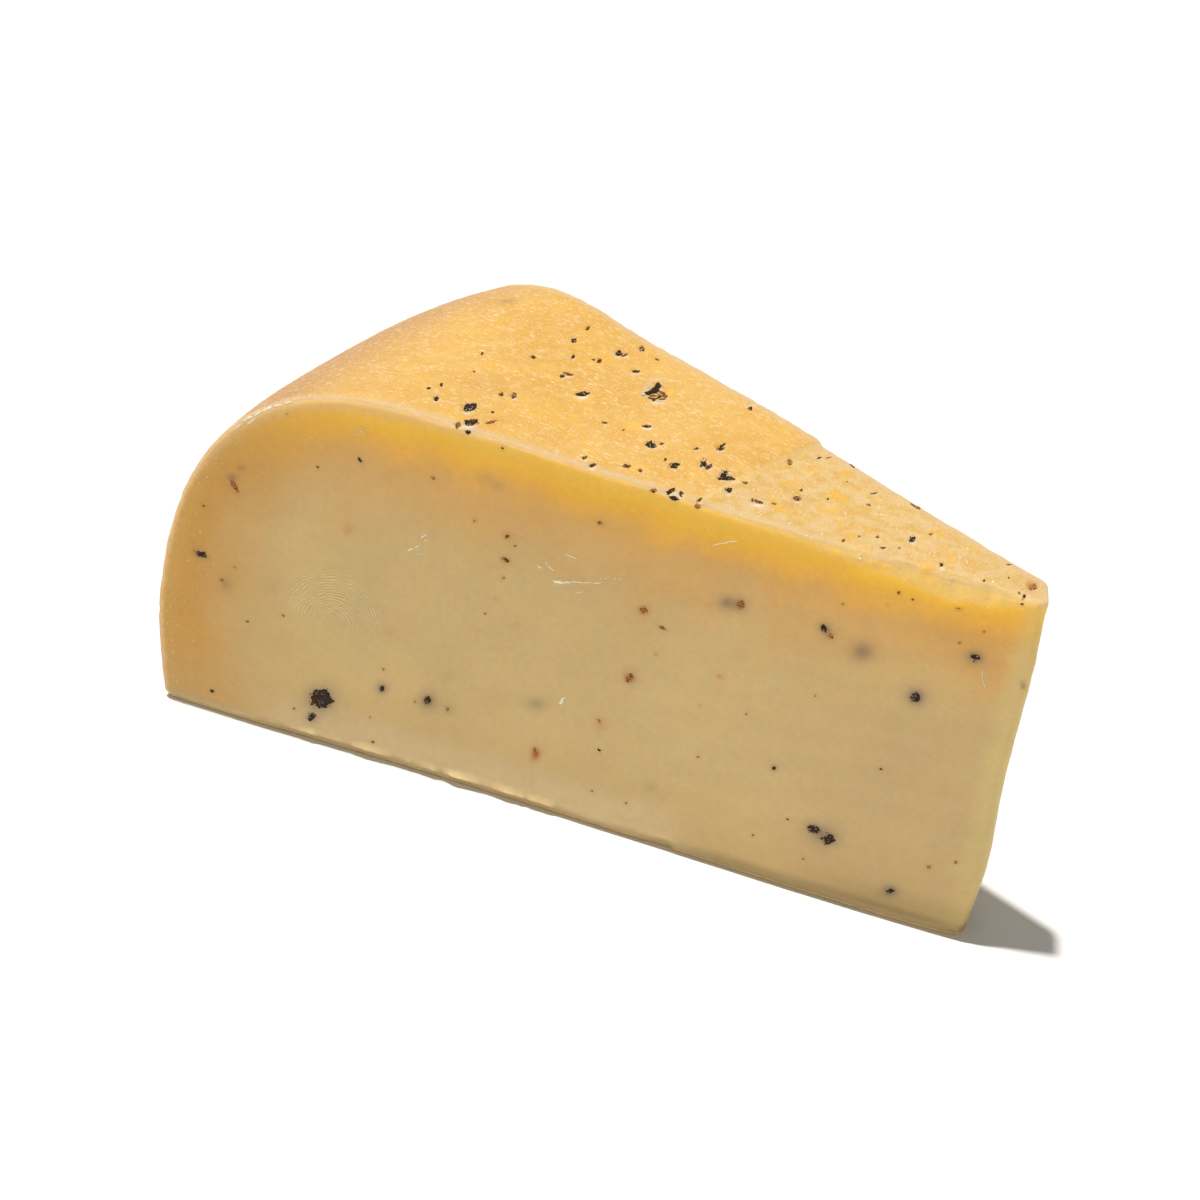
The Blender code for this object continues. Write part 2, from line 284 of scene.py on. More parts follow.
# --- shared edges --------------------------------------------------------------
def rim_edge(step_front, step_rear):
    """Where the rind meets the wall, from the foot in front round to the foot behind.
    Gives arc lengths s and wall coordinates (a, z)."""
    turn_r = 116.0
    s_turn = float(np.interp(turn_r, SEC_R[:1200], SEC_S[:1200]))
    s_all, a_all, z_all = [], [], []

    def down_side(count, front):
        s = np.linspace(s_turn, SEC_END, count)
        r, z = np.interp(s, SEC_S, SEC_R), np.interp(s, SEC_S, SEC_Z)
        pick = LINE_A < 0 if front else LINE_A > NOSE_END
        a_tab, found = LINE_A[pick], []
        for ri, zi in zip(r, z):
            p = wall_base(np.column_stack((a_tab, np.full(len(a_tab), zi))))
            d = np.hypot(p[:, 0] - AXIS[0], p[:, 1] - AXIS[1])
            found.append(np.interp(ri, d[::-1], a_tab[::-1]) if front else np.interp(ri, d, a_tab))
        return s, np.array(found), z

    length = SEC_END - s_turn
    s1, a1, z1 = down_side(int(length / step_front), True)
    s3, a3, z3 = down_side(int(length / step_rear), False)
    a2 = np.concatenate(
        (
            np.linspace(a1[0], 0.0, int(-a1[0] / step_front)),
            np.linspace(0.0, NOSE_END, int(NOSE_END / 0.4))[1:-1],
            np.linspace(NOSE_END, a3[0], int((a3[0] - NOSE_END) / step_rear)),
        )
    )[1:-1]
    z2 = np.full(len(a2), 64.0)
    for _ in range(12):
        p = wall_base(np.column_stack((a2, z2)))
        r2 = np.hypot(p[:, 0] - AXIS[0], p[:, 1] - AXIS[1])
        z2 = np.interp(r2, SEC_R[:1200], SEC_Z[:1200])
    s2 = np.interp(r2, SEC_R[:1200], SEC_S[:1200])
    s = np.concatenate((s1[::-1], s2, s3))
    a = np.concatenate((a1[::-1], a2, a3))
    z = np.concatenate((z1[::-1], z2, z3))
    return s, np.column_stack((a, z))


def inside(points, loop):
    """Which points lie in a closed polygon."""
    result = np.zeros(len(points), bool)
    x0, y0 = loop[:, 0], loop[:, 1]
    x1, y1 = np.roll(x0, -1), np.roll(y0, -1)
    for i in range(0, len(points), 4000):
        px, py = points[i : i + 4000, 0][:, None], points[i : i + 4000, 1][:, None]
        across = (y0 > py) != (y1 > py)
        with np.errstate(divide="ignore", invalid="ignore"):
            at = (x1 - x0) * (py - y0) / (y1 - y0) + x0
        result[i : i + 4000] = (np.count_nonzero(across & (px < at), axis=1) % 2).astype(bool)
    return result


def nearest(points, targets):
    """Distance and index of the nearest target of each point."""
    tree = kdtree.KDTree(len(targets))
    for i, t in enumerate(targets):
        tree.insert((t[0], t[1], 0.0), i)
    tree.balance()
    index, distance = np.empty(len(points), int), np.empty(len(points))
    for k, p in enumerate(points):
        _, index[k], distance[k] = tree.find((p[0], p[1], 0.0))
    return distance, index


def hexes(low, high, step, rng):
    rows = int((high[1] - low[1]) / (step * 0.866)) + 1
    columns = int((high[0] - low[0]) / step) + 1
    j, i = np.mgrid[0:rows, 0:columns]
    x = low[0] + (i + 0.5 * (j % 2)) * step
    y = low[1] + j * step * 0.866
    p = np.column_stack((x.ravel(), y.ravel()))
    return p + rng.uniform(-0.11, 0.11, p.shape) * step


def fill_chart(loop, steps, size_of, rows, rng):
    """Points inside a loop: rows along its edge, then lattices whose spacing follows size_of."""
    low, high = loop.min(axis=0), loop.max(axis=0)
    ahead, behind = np.roll(loop, -1, axis=0), np.roll(loop, 1, axis=0)
    tangent = ahead - behind
    tangent /= np.linalg.norm(tangent, axis=1)[:, None] + 1e-12
    inward = np.column_stack((-tangent[:, 1], tangent[:, 0]))
    area = np.sum(loop[:, 0] * ahead[:, 1] - ahead[:, 0] * loop[:, 1])
    if area < 0:
        inward = -inward
    gathered, clear = [], 0.0
    for k, depth in enumerate(rows):
        p = loop + inward * depth
        if k % 2:
            p = 0.5 * (p + np.roll(p, -1, axis=0))
        d, _ = nearest(p, loop)
        gathered.append(p[(d > depth * 0.85) & inside(p, loop)])
        clear = depth
    lattice = []
    for step in steps:
        p = hexes(low, high, step, rng)
        wanted = size_of(p)
        p = p[np.isclose(wanted, step)]
        p = p[inside(p, loop)]
        d, _ = nearest(p, loop)
        lattice.append(p[d > clear + 0.45 * step])
    return np.concatenate(gathered + lattice)


def triangles(loop, interior):
    points = np.concatenate((loop, interior))
    n = len(loop)
    edges = [(i, (i + 1) % n) for i in range(n)]
    out = geometry.delaunay_2d_cdt([Vector(p) for p in points], edges, [], 1, 1e-7)
    if len(out[0]) != len(points):
        raise RuntimeError(f"the sheet has {len(out[0])} points, not {len(points)}")
    original = np.array([o[0] for o in out[3]])
    return points, original[np.array(out[2])]

# --- flecks and stains ------------------------------------------------------------
# Front cut: distance from the tip, height, length, width, slant, kind
# (0 black, 1 dark brown, 2 brown, 3 faint). Top: x, y and the same.
FRONT_FLECKS = (
    (136.2, 44.2, 2.24, 0.88, -56, 2), (141, 29.5, 2.1, 1.22, -4, 0), (122.1, 52, 0.67, 0.53, 36, 1), (115.1, 55.4, 1.09, 0.42, -47, 0),
    (102.2, 55.8, 0.72, 0.59, 38, 1), (115.5, 42.3, 0.75, 0.61, 40, 3), (115.5, 41.3, 0.48, 0.4, 63, 3), (141.3, 38.9, 0.65, 0.47, 31, 2),
    (134.7, 28.8, 0.58, 0.44, 35, 2), (136.7, 25.6, 0.86, 0.46, -43, 2), (125.1, 22.1, 0.58, 0.42, -30, 1), (131.3, 18.9, 0.58, 0.45, 37, 1),
    (136.5, 3.1, 0.81, 0.65, -10, 1), (128.5, 60.1, 0.41, 0.34, 44, 1), (116.5, 8, 4.38, 3.53, 46, 0), (117.8, 3.7, 1.82, 1.48, 50, 0),
    (121.2, 4.4, 0.58, 0.36, 45, 1), (106, 13.4, 1.22, 0.89, 84, 0), (106.2, 17.2, 0.5, 0.41, 43, 1), (97.7, 13.6, 1.64, 1.3, 76, 0),
    (99.9, 12.6, 0.49, 0.38, 78, 2), (94, 13, 0.62, 0.51, 69, 2), (107.5, 7, 0.44, 0.36, 54, 1), (106.3, 2.2, 0.72, 0.54, 11, 1),
    (67.7, 19.1, 0.97, 0.58, -51, 2), (66.8, 13.5, 0.76, 0.41, -24, 1), (77.7, 9.7, 1.44, 0.83, -73, 2), (88, 44.5, 1.49, 0.66, -19, 1),
    (87.9, 41, 0.55, 0.46, 44, 2), (88.6, 36.7, 0.67, 0.36, -30, 3), (90.1, 33.4, 0.51, 0.4, 34, 1), (88.4, 48.9, 0.89, 0.71, 34, 2),
    (86.8, 47.5, 0.5, 0.39, 32, 1), (94.3, 50, 0.54, 0.43, 33, 2), (73.4, 55.9, 0.84, 0.55, 10, 2), (63.6, 42.3, 1.33, 1.14, 4, 2),
    (60, 40, 1.48, 0.46, -11, 1), (48.1, 48.2, 1.69, 1.31, 69, 2), (53.1, 46.6, 1.2, 0.29, 23, 3), (63.9, 29, 1.78, 1.5, 74, 2),
    (60.3, 34.8, 0.83, 0.29, -23, 3), (49.1, 33.8, 0.7, 0.55, 31, 3), (50, 17.6, 0.54, 0.45, 40, 1), (51.6, 27.5, 0.53, 0.44, 38, 3),
    (43.6, 28.3, 0.53, 0.44, 38, 1), (37.1, 19.6, 0.89, 0.75, 40, 0), (66.8, 5.1, 0.55, 0.42, 33, 1), (60.6, 4.6, 0.55, 0.42, 34, 1),
    (38.2, 5.6, 0.52, 0.45, 54, 1), (33, 10.6, 0.54, 0.45, 42, 1), (34, 48, 1.49, 1.28, -42, 0), (32.6, 47, 1.15, 0.92, -36, 2),
    (17, 40.2, 1.89, 1.77, -90, 0), (9.3, 50.3, 1.59, 1.29, -6, 0), (8.9, 55.2, 0.49, 0.42, 34, 1), (12.2, 52.1, 0.55, 0.39, 23, 1),
    (28.4, 10.2, 2.34, 1.61, -1, 0), (25.6, 9, 2.56, 2.17, 20, 0), (13.5, 2.4, 1.56, 0.98, 24, 0), (8.2, 9.2, 0.76, 0.58, 29, 2),
    (4.1, 11.6, 0.69, 0.57, 36, 1), (19.8, 25.2, 0.58, 0.48, 35, 1), (33, 35.3, 0.52, 0.44, 37, 1), (29, 3.7, 0.53, 0.42, 34, 1),
    (31.9, 53.3, 0.5, 0.36, 24, 1), (25.2, 55.2, 0.56, 0.36, 21, 3), (23.5, 58, 0.66, 0.53, 28, 1), (21.1, 57.5, 0.49, 0.42, 33, 1),
    (13.7, 58.1, 0.85, 0.36, -5, 1), (91.4, 64.5, 0.53, 0.42, 31, 0),
)
FRONT_STAINS = (
    (136.8, 45.6, 1.14, 0.89, 36, 0, 0.5), (135.4, 47.9, 0.94, 0.71, 33, 0, 0.35), (135.9, 25.1, 1.82, 1.41, 75, 0, 0.25), (91.4, 57.6, 1.57, 1.06, 24, 0, 0.22),
    (116.8, 7.5, 3.13, 2.45, 40, 0, 0.3), (106, 13.4, 1.68, 1.37, 67, 0, 0.4), (97.7, 13.5, 2.58, 2.15, 57, 0, 0.38), (93.8, 13.1, 1.55, 1.28, 49, 0, 0.22),
    (78.8, 19, 2.35, 1.52, 25, 0, 0.42), (77.5, 9.0, 1.5, 0.9, 76, 1, 0.95), (67.4, 18.2, 1.79, 1.38, 85, 1, 0.22), (106, 24.8, 1.67, 1.13, 27, 1, 0.16),
    (84.3, 32.7, 1.07, 0.74, 26, 1, 0.16), (63.6, 42.3, 1.4, 1.09, 30, 1, 0.3), (50.4, 47.8, 1.9, 1.6, 37, 0, 0.55), (48.2, 48, 1.76, 1.56, 54, 0, 0.35),
    (56.9, 9.2, 1.31, 1.11, 51, 0, 0.25), (33.4, 47.5, 1.75, 1.56, 57, 0, 0.25), (27.1, 45.7, 2.52, 2.15, 36, 0, 0.62), (16.9, 40.1, 2.3, 2.06, 69, 0, 0.42),
    (9.3, 50.3, 2.12, 1.79, 31, 0, 0.36), (26.8, 9.6, 3.5, 2.69, 31, 0, 0.28), (13.5, 2.4, 1.97, 1.71, 49, 0, 0.36), (49.2, 33.8, 1.06, 0.91, 42, 1, 0.14),
    (63.9, 28.9, 1.58, 1.33, 74, 1, 0.3), (0.8, 47.7, 0.91, 0.48, -79, 0, 0.7), (73.4, 55.9, 1.03, 0.71, 24, 1, 0.2), (88, 44.5, 1.27, 1.06, 42, 1, 0.25),
    (88.4, 48.9, 1.16, 0.99, 68, 1, 0.25), (93.8, 58.3, 1.75, 1.07, 22, 0, 0.2), (115.6, 42.1, 1.52, 1.05, 87, 1, 0.2), (109.6, 54, 2.5, 1.44, 21, 0, 0.1),
    (127.7, 27.4, 3.04, 2.23, 31, 0, 0.1), (94.5, 19.6, 2.59, 1.89, 30, 0, 0.08), (85.2, 17.7, 3.65, 2.29, 24, 0, 0.06), (51.7, 19.5, 4.61, 3.4, 29, 2, 0.1),
    (46.5, 38.9, 2.07, 1.64, 31, 1, 0.1),
)
TOP_FLECKS = (
    (-91.1, 47.9, 1.83, 0.54, 80, 1), (-90.1, 53.4, 0.83, 0.31, 74, 3), (-91.9, 42, 1.85, 0.94, 84, 0), (-90.2, 41.3, 0.69, 0.41, -47, 3),
    (-90.3, 36, 1.27, 0.62, -89, 0), (-96.2, 31.4, 0.93, 0.83, -51, 1), (-104.2, 27.5, 0.95, 0.51, -79, 0), (-85.5, 45.4, 1.12, 0.73, 56, 3),
    (-83.7, 42.3, 1.92, 1.38, -76, 0), (-82.6, 42.5, 1.47, 0.54, 66, 1), (-80.7, 46.4, 1.95, 1.04, -83, 1), (-77.2, 44.3, 0.86, 0.68, -41, 1),
    (-91.5, 32.5, 1.03, 0.53, 17, 3), (-86.9, 37.2, 0.69, 0.57, 23, 1), (-85.9, 37.4, 1.54, 0.85, -84, 1), (-80, 39.8, 0.67, 0.47, 75, 3),
    (-79.3, 37.7, 1.42, 1.17, 38, 0), (-89.9, 28, 1.5, 0.76, -81, 0), (-89.1, 29.3, 1.74, 0.66, 26, 1), (-86.6, 30.9, 1.6, 0.5, 30, 3),
    (-93.5, 26.9, 0.51, 0.36, 72, 3), (-91.4, 27.1, 0.62, 0.43, -44, 3), (-103.2, 20.1, 0.74, 0.37, -78, 1), (-106.4, 12, 1.09, 0.5, -76, 1),
    (-107.5, 14.8, 0.61, 0.33, -77, 3), (-107.8, 9.6, 1, 0.54, 84, 0), (-105.5, 6.8, 1.71, 0.76, -80, 0), (-99.7, 7.2, 3.13, 2.24, 78, 0),
    (-96, 8.2, 0.74, 0.48, -88, 1), (-95.2, 4.6, 2.1, 0.6, 50, 2), (-99.5, 0.3, 1.77, 0.96, -80, 1), (-97.8, 2.4, 2.66, 1.51, 55, 0),
    (-97.4, -0.8, 1.66, 0.82, 88, 0), (-96.6, 15.1, 1.24, 0.86, 84, 1), (-94.7, 15.9, 1.87, 0.97, -83, 1), (-103.3, 15.6, 1.63, 0.6, 56, 3),
    (-85, 23.8, 2.77, 1.14, 41, 0), (-78.8, 16.5, 1.04, 0.55, 31, 1), 
    (-72.3, 19.6, 1.55, 0.9, 30, 0),
    (-75.4, 16.1, 0.95, 0.55, -86, 2), (-70.3, 13.8, 2.15, 1.14, -84, 0), (-69.5, 13.8, 1.8, 0.98, -84, 0), (-68.5, 15.3, 1.09, 0.72, 57, 1),
    (-66.9, 13.3, 1.04, 0.45, 76, 3), (-71.6, 4.4, 1.49, 0.95, 26, 1), (-69.2, 4.3, 1.19, 0.64, -84, 1), (-78.3, 2.7, 1.35, 0.5, 66, 1),
    (-76.5, 1.1, 1.62, 0.72, 70, 1), (-66.6, 10.4, 1.19, 0.49, -80, 1), (-64.7, 9.3, 2.36, 1.21, 72, 0), (-62.9, 17.2, 1.24, 0.86, 67, 1),
    (-59.5, 19.4, 1.85, 1.27, 65, 0), (-59.4, 21.2, 1.56, 0.59, 60, 0), (-60.7, 12.9, 2.61, 1.06, -90, 0), (-59.6, 12.5, 2.29, 0.81, 80, 0),
    (-56.7, 11.8, 2.2, 1.04, 81, 0), (-55.8, 10.7, 2.29, 1.39, 13, 0), (-56.9, 9.7, 1.23, 0.67, 58, 0), (-52.9, 11.1, 0.98, 0.7, 2, 1),
    (-54.7, 6.8, 1.74, 1.13, -78, 0), (-58.2, 0.8, 1.31, 0.46, 75, 1), (-57.9, -1.3, 2.4, 0.94, 78, 2), (-63, 0.8, 2.17, 0.73, 69, 0),
    (-62, -1.2, 1.98, 1.46, 31, 0), (-61.3, 0.8, 1.37, 0.64, -82, 0), (-65.5, -0.6, 1.8, 0.94, 82, 2), (-50.5, 6.2, 0.86, 0.53, 87, 1),
    (-49.5, 6.2, 1.62, 0.62, 7, 1), (-47, 7.1, 0.99, 0.47, 22, 2), (-47.9, 22.3, 1.86, 0.75, -88, 2), (-44.1, 14.3, 0.87, 0.58, 58, 0),
    (-44.1, 11.1, 1.38, 1.24, 25, 1), (-39.4, 14, 0.59, 0.37, 83, 1), (-43.8, 26.8, 1.12, 0.58, 54, 0), (-42.5, 27.9, 1.07, 0.31, 60, 1),
    (-38.1, 27.3, 1.38, 0.46, -49, 0), (-58.4, 36.5, 1.5, 0.66, 88, 1), (-37.8, 21.6, 0.46, 0.31, 77, 1), (-32.9, 20.4, 1.52, 0.4, 54, 1),
    (-32.9, 16.1, 0.95, 0.6, 26, 2), (-26.2, 20.3, 1.21, 0.99, -30, 1), (-25.3, 19.9, 1.6, 1.15, -85, 2), (-34.2, 2, 0.76, 0.51, 71, 0),
    (-32.1, 5, 0.68, 0.41, 49, 2), (-29.4, 6.6, 0.7, 0.47, 67, 2), (-27.8, 3.5, 0.95, 0.45, 29, 1), (-25.5, 5, 0.57, 0.34, 50, 2),
    (-24, 9, 1.79, 1.13, 82, 0), (-21.7, 12.5, 1.07, 0.52, 65, 2), (-18.2, 3.6, 1.08, 0.54, -88, 0), (-8.3, 9.9, 0.98, 0.65, 57, 1),
    (-7.6, 5.8, 0.62, 0.37, 84, 0), (-11, 2.5, 0.58, 0.38, 75, 0), (-3.4, 4.6, 2.23, 1.37, 82, 2), (-5.2, 1.9, 0.71, 0.47, -72, 0),
    (-4.2, 1.2, 1.28, 0.54, 80, 1), (-3.9, -1.2, 0.7, 0.42, 82, 0),
)
TOP_STAINS = (
    (-107.1, 51.6, 2.29, 2.1, -87, 0, 0.35), (-72, 33.4, 1.51, 0.84, -85, 3, 0.9), (-74.4, 18, 2.13, 1.39, 55, 3, 0.75), (-83.8, 15.4, 1.32, 0.92, 80, 3, 0.9),
    (-69.7, 5.2, 2.01, 1.41, 68, 3, 0.7), (-20.5, 1.2, 2.69, 1.79, 67, 4, 0.85), (-14.4, -1.8, 2.2, 1.44, 74, 4, 0.8), (-31, 1, 1.75, 1.07, 85, 4, 0.7),
    (-38, 11.2, 2.18, 1.39, 83, 4, 0.6), (-98, 1, 1.19, 0.86, 72, 2, 0.95), (-84.7, 22.7, 1.17, 0.76, 55, 2, 0.95), (-72.1, 18.9, 0.94, 0.51, 45, 2, 0.9),
    (-62.3, -0, 0.91, 0.48, 45, 2, 0.95), (-49.4, 5.5, 1.26, 0.56, 40, 2, 0.8), (-79.2, 37.2, 0.77, 0.41, 45, 2, 0.8), (-75.5, 36.5, 2.46, 1.02, 40, 2, 0.25),
    (-75.7, 31.6, 1.84, 0.69, -78, 2, 0.7), (-72.9, 29, 1.72, 0.98, 47, 2, 0.5), (-60.5, 13.5, 0.7, 0.33, -82, 2, 0.9), (-74.4, 32.6, 3.79, 2.17, -86, 0, 0.3),
    (-99.7, 7.3, 2.21, 1.43, -88, 0, 0.25), (-97.9, 2, 1.99, 1.44, 72, 0, 0.2), (-101, 16.8, 7.29, 3.35, 42, 1, 0.12), (-94.1, 6.5, 2.52, 1.29, 44, 1, 0.25),
    (-52.3, 19.2, 2.29, 1.53, 79, 1, 0.1), (-49.9, 17.7, 2.22, 1.42, 85, 3, 0.3), (-44.1, 22, 2.27, 1.25, 45, 3, 0.35), (-87.1, 37.5, 4.13, 2.85, 63, 3, 0.12),
    (-80.6, 45.2, 4.2, 2.88, 63, 3, 0.12), (-56.2, 11, 2.93, 1.87, 86, 0, 0.2), (-3.6, 4.6, 2.04, 1.22, 84, 1, 0.45), (-42.9, 11.3, 2.71, 1.75, 55, 1, 0.14),
    (-57.8, -0.2, 2, 1.38, 66, 1, 0.25),
)


def spot_field(points, spots, make):
    """Sum of make(u, v, spot) over spots, u and v along and across each, in its half sizes."""
    total = np.zeros(len(points))
    for spot in spots:
        x, y, half_long, half_wide, turn = spot[:5]
        near = np.abs(points[:, 0] - x) < 4.0 * half_long + 1.5
        near &= np.abs(points[:, 1] - y) < 4.0 * half_long + 1.5
        if not near.any():
            continue
        c, s = math.cos(math.radians(turn)), math.sin(math.radians(turn))
        dx, dy = points[near, 0] - x, points[near, 1] - y
        total[near] += make((c * dx + s * dy) / half_long, (-s * dx + c * dy) / half_wide, spot)
    return total


def pit(depth, lip):
    """A shallow pit a little wider than its fleck, with a low raised rim."""

    def make(u, v, spot):
        size = math.sqrt(spot[2] * spot[3])
        u = u * spot[2] / (spot[2] + 0.18)
        v = v * spot[3] / (spot[3] + 0.18)
        d = np.hypot(u, v)
        strength = min(1.0, 0.35 + 0.55 * size)
        return strength * (-depth * np.exp(-(d**4)) + lip * bell(d - 1.45, 0.35))

    return make


def stroke_field(points, strokes):
    """Raised and sunk strokes between two points: (x0, y0, x1, y1, half width, height)."""
    total = np.zeros(len(points))
    for x0, y0, x1, y1, width, height in strokes:
        a, b = np.array((x0, y0)), np.array((x1, y1))
        run = b - a
        t = np.clip((points - a) @ run / (run @ run), 0.0, 1.0)
        d = np.hypot(*(points - a - t[:, None] * run).T)
        ends = sstep(0.0, 0.12, t) * (1.0 - 0.6 * sstep(0.7, 1.0, t))
        total += height * bell(d, width) * (0.4 + 0.6 * ends)
    return total


# Marks on the front cut: distances from the tip and heights, half width, height.
STROKES = (
    (82.7, 45.3, 81.3, 44.6, 0.35, 0.06), (79.6, 42.8, 76.5, 43.4, 0.35, 0.09),
    (76.5, 43.5, 71.8, 45.0, 0.30, 0.05), (79.2, 43.9, 76.0, 44.5, 0.5, -0.07),
    (76.0, 44.6, 71.8, 46.1, 0.5, -0.05), (80.5, 47.3, 76.5, 46.4, 1.6, -0.08),
    (104.8, 41.1, 103.0, 42.7, 0.4, 0.06), (54.5, 57.4, 50.8, 59.3, 0.3, 0.05),
)
# Thin bright slivers the knife left on it, pale paste whitened further as a painted highlight where they catch the
# light: start, end, width, all millimetres.
SLIVERS = (
    (82.6, 45.0, 81.7, 44.8, 0.24), (81.2, 45.7, 79.7, 45.0, 0.26), (81.4, 46.1, 81.0, 46.0, 0.2), (78.1, 48.5, 76.4, 48.3, 0.2),
    (79.4, 42.9, 77.8, 43.2, 0.42), (77.8, 43.2, 76.5, 43.7, 0.36), (76.5, 43.8, 74.7, 44.2, 0.2), (74.7, 44.2, 73.0, 44.6, 0.13),
    (72.8, 44.6, 71.5, 45.1, 0.13), (71.8, 45.9, 71.5, 45.8, 0.22), (71.0, 46.3, 70.7, 46.0, 0.22), (69.5, 46.6, 69.2, 46.5, 0.2),
    (68.7, 46.7, 68.4, 46.7, 0.18), (75.5, 42.0, 74.2, 42.5, 0.12), (54.5, 57.4, 53.1, 58.2, 0.14), (52.9, 58.3, 50.8, 59.3, 0.16),
    (104.8, 41.1, 104.0, 41.9, 0.3), (103.7, 42.1, 103.0, 42.7, 0.28), (103.1, 44.3, 101.9, 45.0, 0.24), (102.3, 43.8, 101.7, 44.2, 0.2),
    (103.3, 40.8, 102.0, 41.5, 0.2), (7.7, 48.0, 7.2, 46.8, 0.16), (7.2, 46.8, 6.7, 45.5, 0.16), (116.3, 61.0, 114.9, 60.4, 0.14),
    (117.0, 60.1, 115.5, 59.4, 0.12), (115.5, 62.0, 114.4, 61.6, 0.12),
    (135.9, 56.7, 134.5, 58.0, 0.35), (134.1, 58.3, 132.8, 59.3, 0.35), (132.7, 59.5, 131.2, 60.7, 0.4), (130.9, 60.8, 129.4, 61.7, 0.3),
    (129.0, 62.0, 128.0, 62.5, 0.25), (135.0, 56.6, 133.7, 57.7, 0.25), (137.0, 55.0, 136.1, 56.1, 0.25),
)
# The big woody fleck on top, shard by shard: x, y, length, width, turn, kind (5 pale).
WOODY = (
    (-75.3, 31.6, 1.9, 1.0, 57, 0), (-74.6, 33.3, 3.5, 1.15, 75, 0), (-74.6, 34.9, 1.6, 0.7, 88, 0), (-74.9, 32.6, 2.2, 0.9, 66, 0),
    (-74.2, 30.2, 1.9, 0.7, 25, 1), (-74.4, 31.3, 1.5, 0.4, 36, 2), (-72.9, 32.0, 1.6, 0.7, 10, 2), (-73.1, 33.0, 1.5, 0.6, -31, 2),
    (-72.5, 30.6, 1.6, 0.5, 36, 1), (-73.7, 29.3, 0.8, 0.5, 83, 0), (-73.8, 32.4, 1.0, 0.45, -28, 1), (-73.3, 31.2, 1.1, 0.35, 60, 1),
    (-72.2, 31.6, 1.3, 0.4, 80, 1), (-75.9, 34.3, 1.4, 0.5, -28, 5), (-75.9, 30.1, 1.2, 0.5, 62, 5), (-74.2, 28.8, 0.9, 0.5, -10, 5),
    (-72.6, 29.5, 1.4, 0.45, 23, 5), (-73.7, 33.8, 1.2, 0.4, -37, 5), (-74.0, 31.8, 1.3, 0.3, 50, 5), (-71.9, 30.9, 0.9, 0.3, 75, 5),
)

def fold_place(p):
    """Signed distance from the fold line, positive towards the rim, and the share along it."""
    run = FOLD_B - FOLD_A
    length = float(np.linalg.norm(run))
    rel = p[:, :2] - FOLD_A
    t = rel @ run / length**2
    side = (run[0] * rel[:, 1] - run[1] * rel[:, 0]) / length
    return side - 0.85 * np.sin(math.pi * np.clip(t, -0.1, 1.1)), t


def broken_drop(d):
    """How far down the front cut its broken upper edge reaches, by distance from the tip."""
    depth = np.interp(d, (1.5, 6, 9, 13, 17, 20, 24, 29, 35, 41, 48, 56, 63, 68),
                      (0, 1.5, 2.4, 3.6, 3.6, 3.1, 2.5, 2.2, 1.7, 1.1, 1.2, 0.8, 0.5, 0))
    return depth


def break_edge(p):
    """Cuts the broken strip off the front upper edge: points past its slope move back on it."""
    d = -p[:, 0]
    near = (d > 0.5) & (d < 70.0) & (p[:, 1] < 8.0) & (p[:, 2] > 52.0)
    q, dist = p[near], d[near]
    drop = broken_drop(dist) * (1.0 + 0.16 * noise(np.column_stack((dist, 0 * dist)), 1.9, 5))
    width = 0.25 + 0.62 * drop + 0.5 * np.maximum(0, noise(np.column_stack((dist, 0 * dist)), 4.3, 8))
    width *= sstep(0.0, 0.5, drop)
    length = np.hypot(drop, width) + 1e-6
    across = q[:, 1] + front_line(dist, q[:, 2])
    radius = np.hypot(q[:, 0] - AXIS[0], q[:, 1] - AXIS[1])
    up = q[:, 2] - top_height(radius)
    past = (-across * drop + up * width + width * drop) / length
    rough = 0.05 * noise(q, 0.8, 31) + 0.12 * noise(q, 2.6, 32)
    past += rough * sstep(0.3, 1.5, drop) * sstep(-1.2, -0.2, past)
    move = 0.5 * (past + np.sqrt(past * past + 0.4)) * sstep(0.05, 0.4, drop)
    q = q.copy()
    q[:, 1] += move * drop / length
    q[:, 2] -= move * width / length
    worn = np.zeros(len(p))
    worn[near] = sstep(-0.5, 0.4, past) * sstep(0.2, 0.9, drop)
    p = p.copy()
    p[near] = q
    return p, worn


def top_shift(p):
    """Height change near the top: the fold's step and the slight hollows round it."""
    radius = np.hypot(p[:, 0] - AXIS[0], p[:, 1] - AXIS[1])
    crest = top_height(radius)
    share = sstep(crest - 9.0, crest - 0.5, p[:, 2])
    share *= 1.0 - sstep(SHOULDER_START, SHOULDER_START + 20.0, radius)
    side, along = fold_place(p)
    step = -FOLD_STEP * sstep(-0.8, 0.6, -side) * (1.0 - sstep(30.0, 58.0, -side))
    swell = FOLD_SWELL * sstep(-0.8, 1.3, side) * sstep(8.0, 27.0, p[:, 1])
    step += swell * (1.0 - sstep(9.0, 30.0, side))
    ridge = 0.07 * bell(side - 0.45, 0.32) - 0.03 * bell(side + 0.15, 0.3) + 0.05 * bell(side + 0.75, 0.32)
    ridge *= sstep(-0.08, 0.05, along) * (1.0 - sstep(1.0, 1.1, along))
    behind = p[:, 0] * math.sin(WEDGE_ANGLE) + p[:, 1] * math.cos(WEDGE_ANGLE)
    lift = (REAR_LIFT + 0.15) * sstep(-9.0, 4.0, behind) * (1.0 - sstep(68.0, 82.0, -p[:, 0]))
    uneven = np.array([perlin((x / 17.0, y / 17.0, 3.7)) for x, y in p[:, :2]])
    return share * (step + ridge + lift + UNEVEN * uneven)


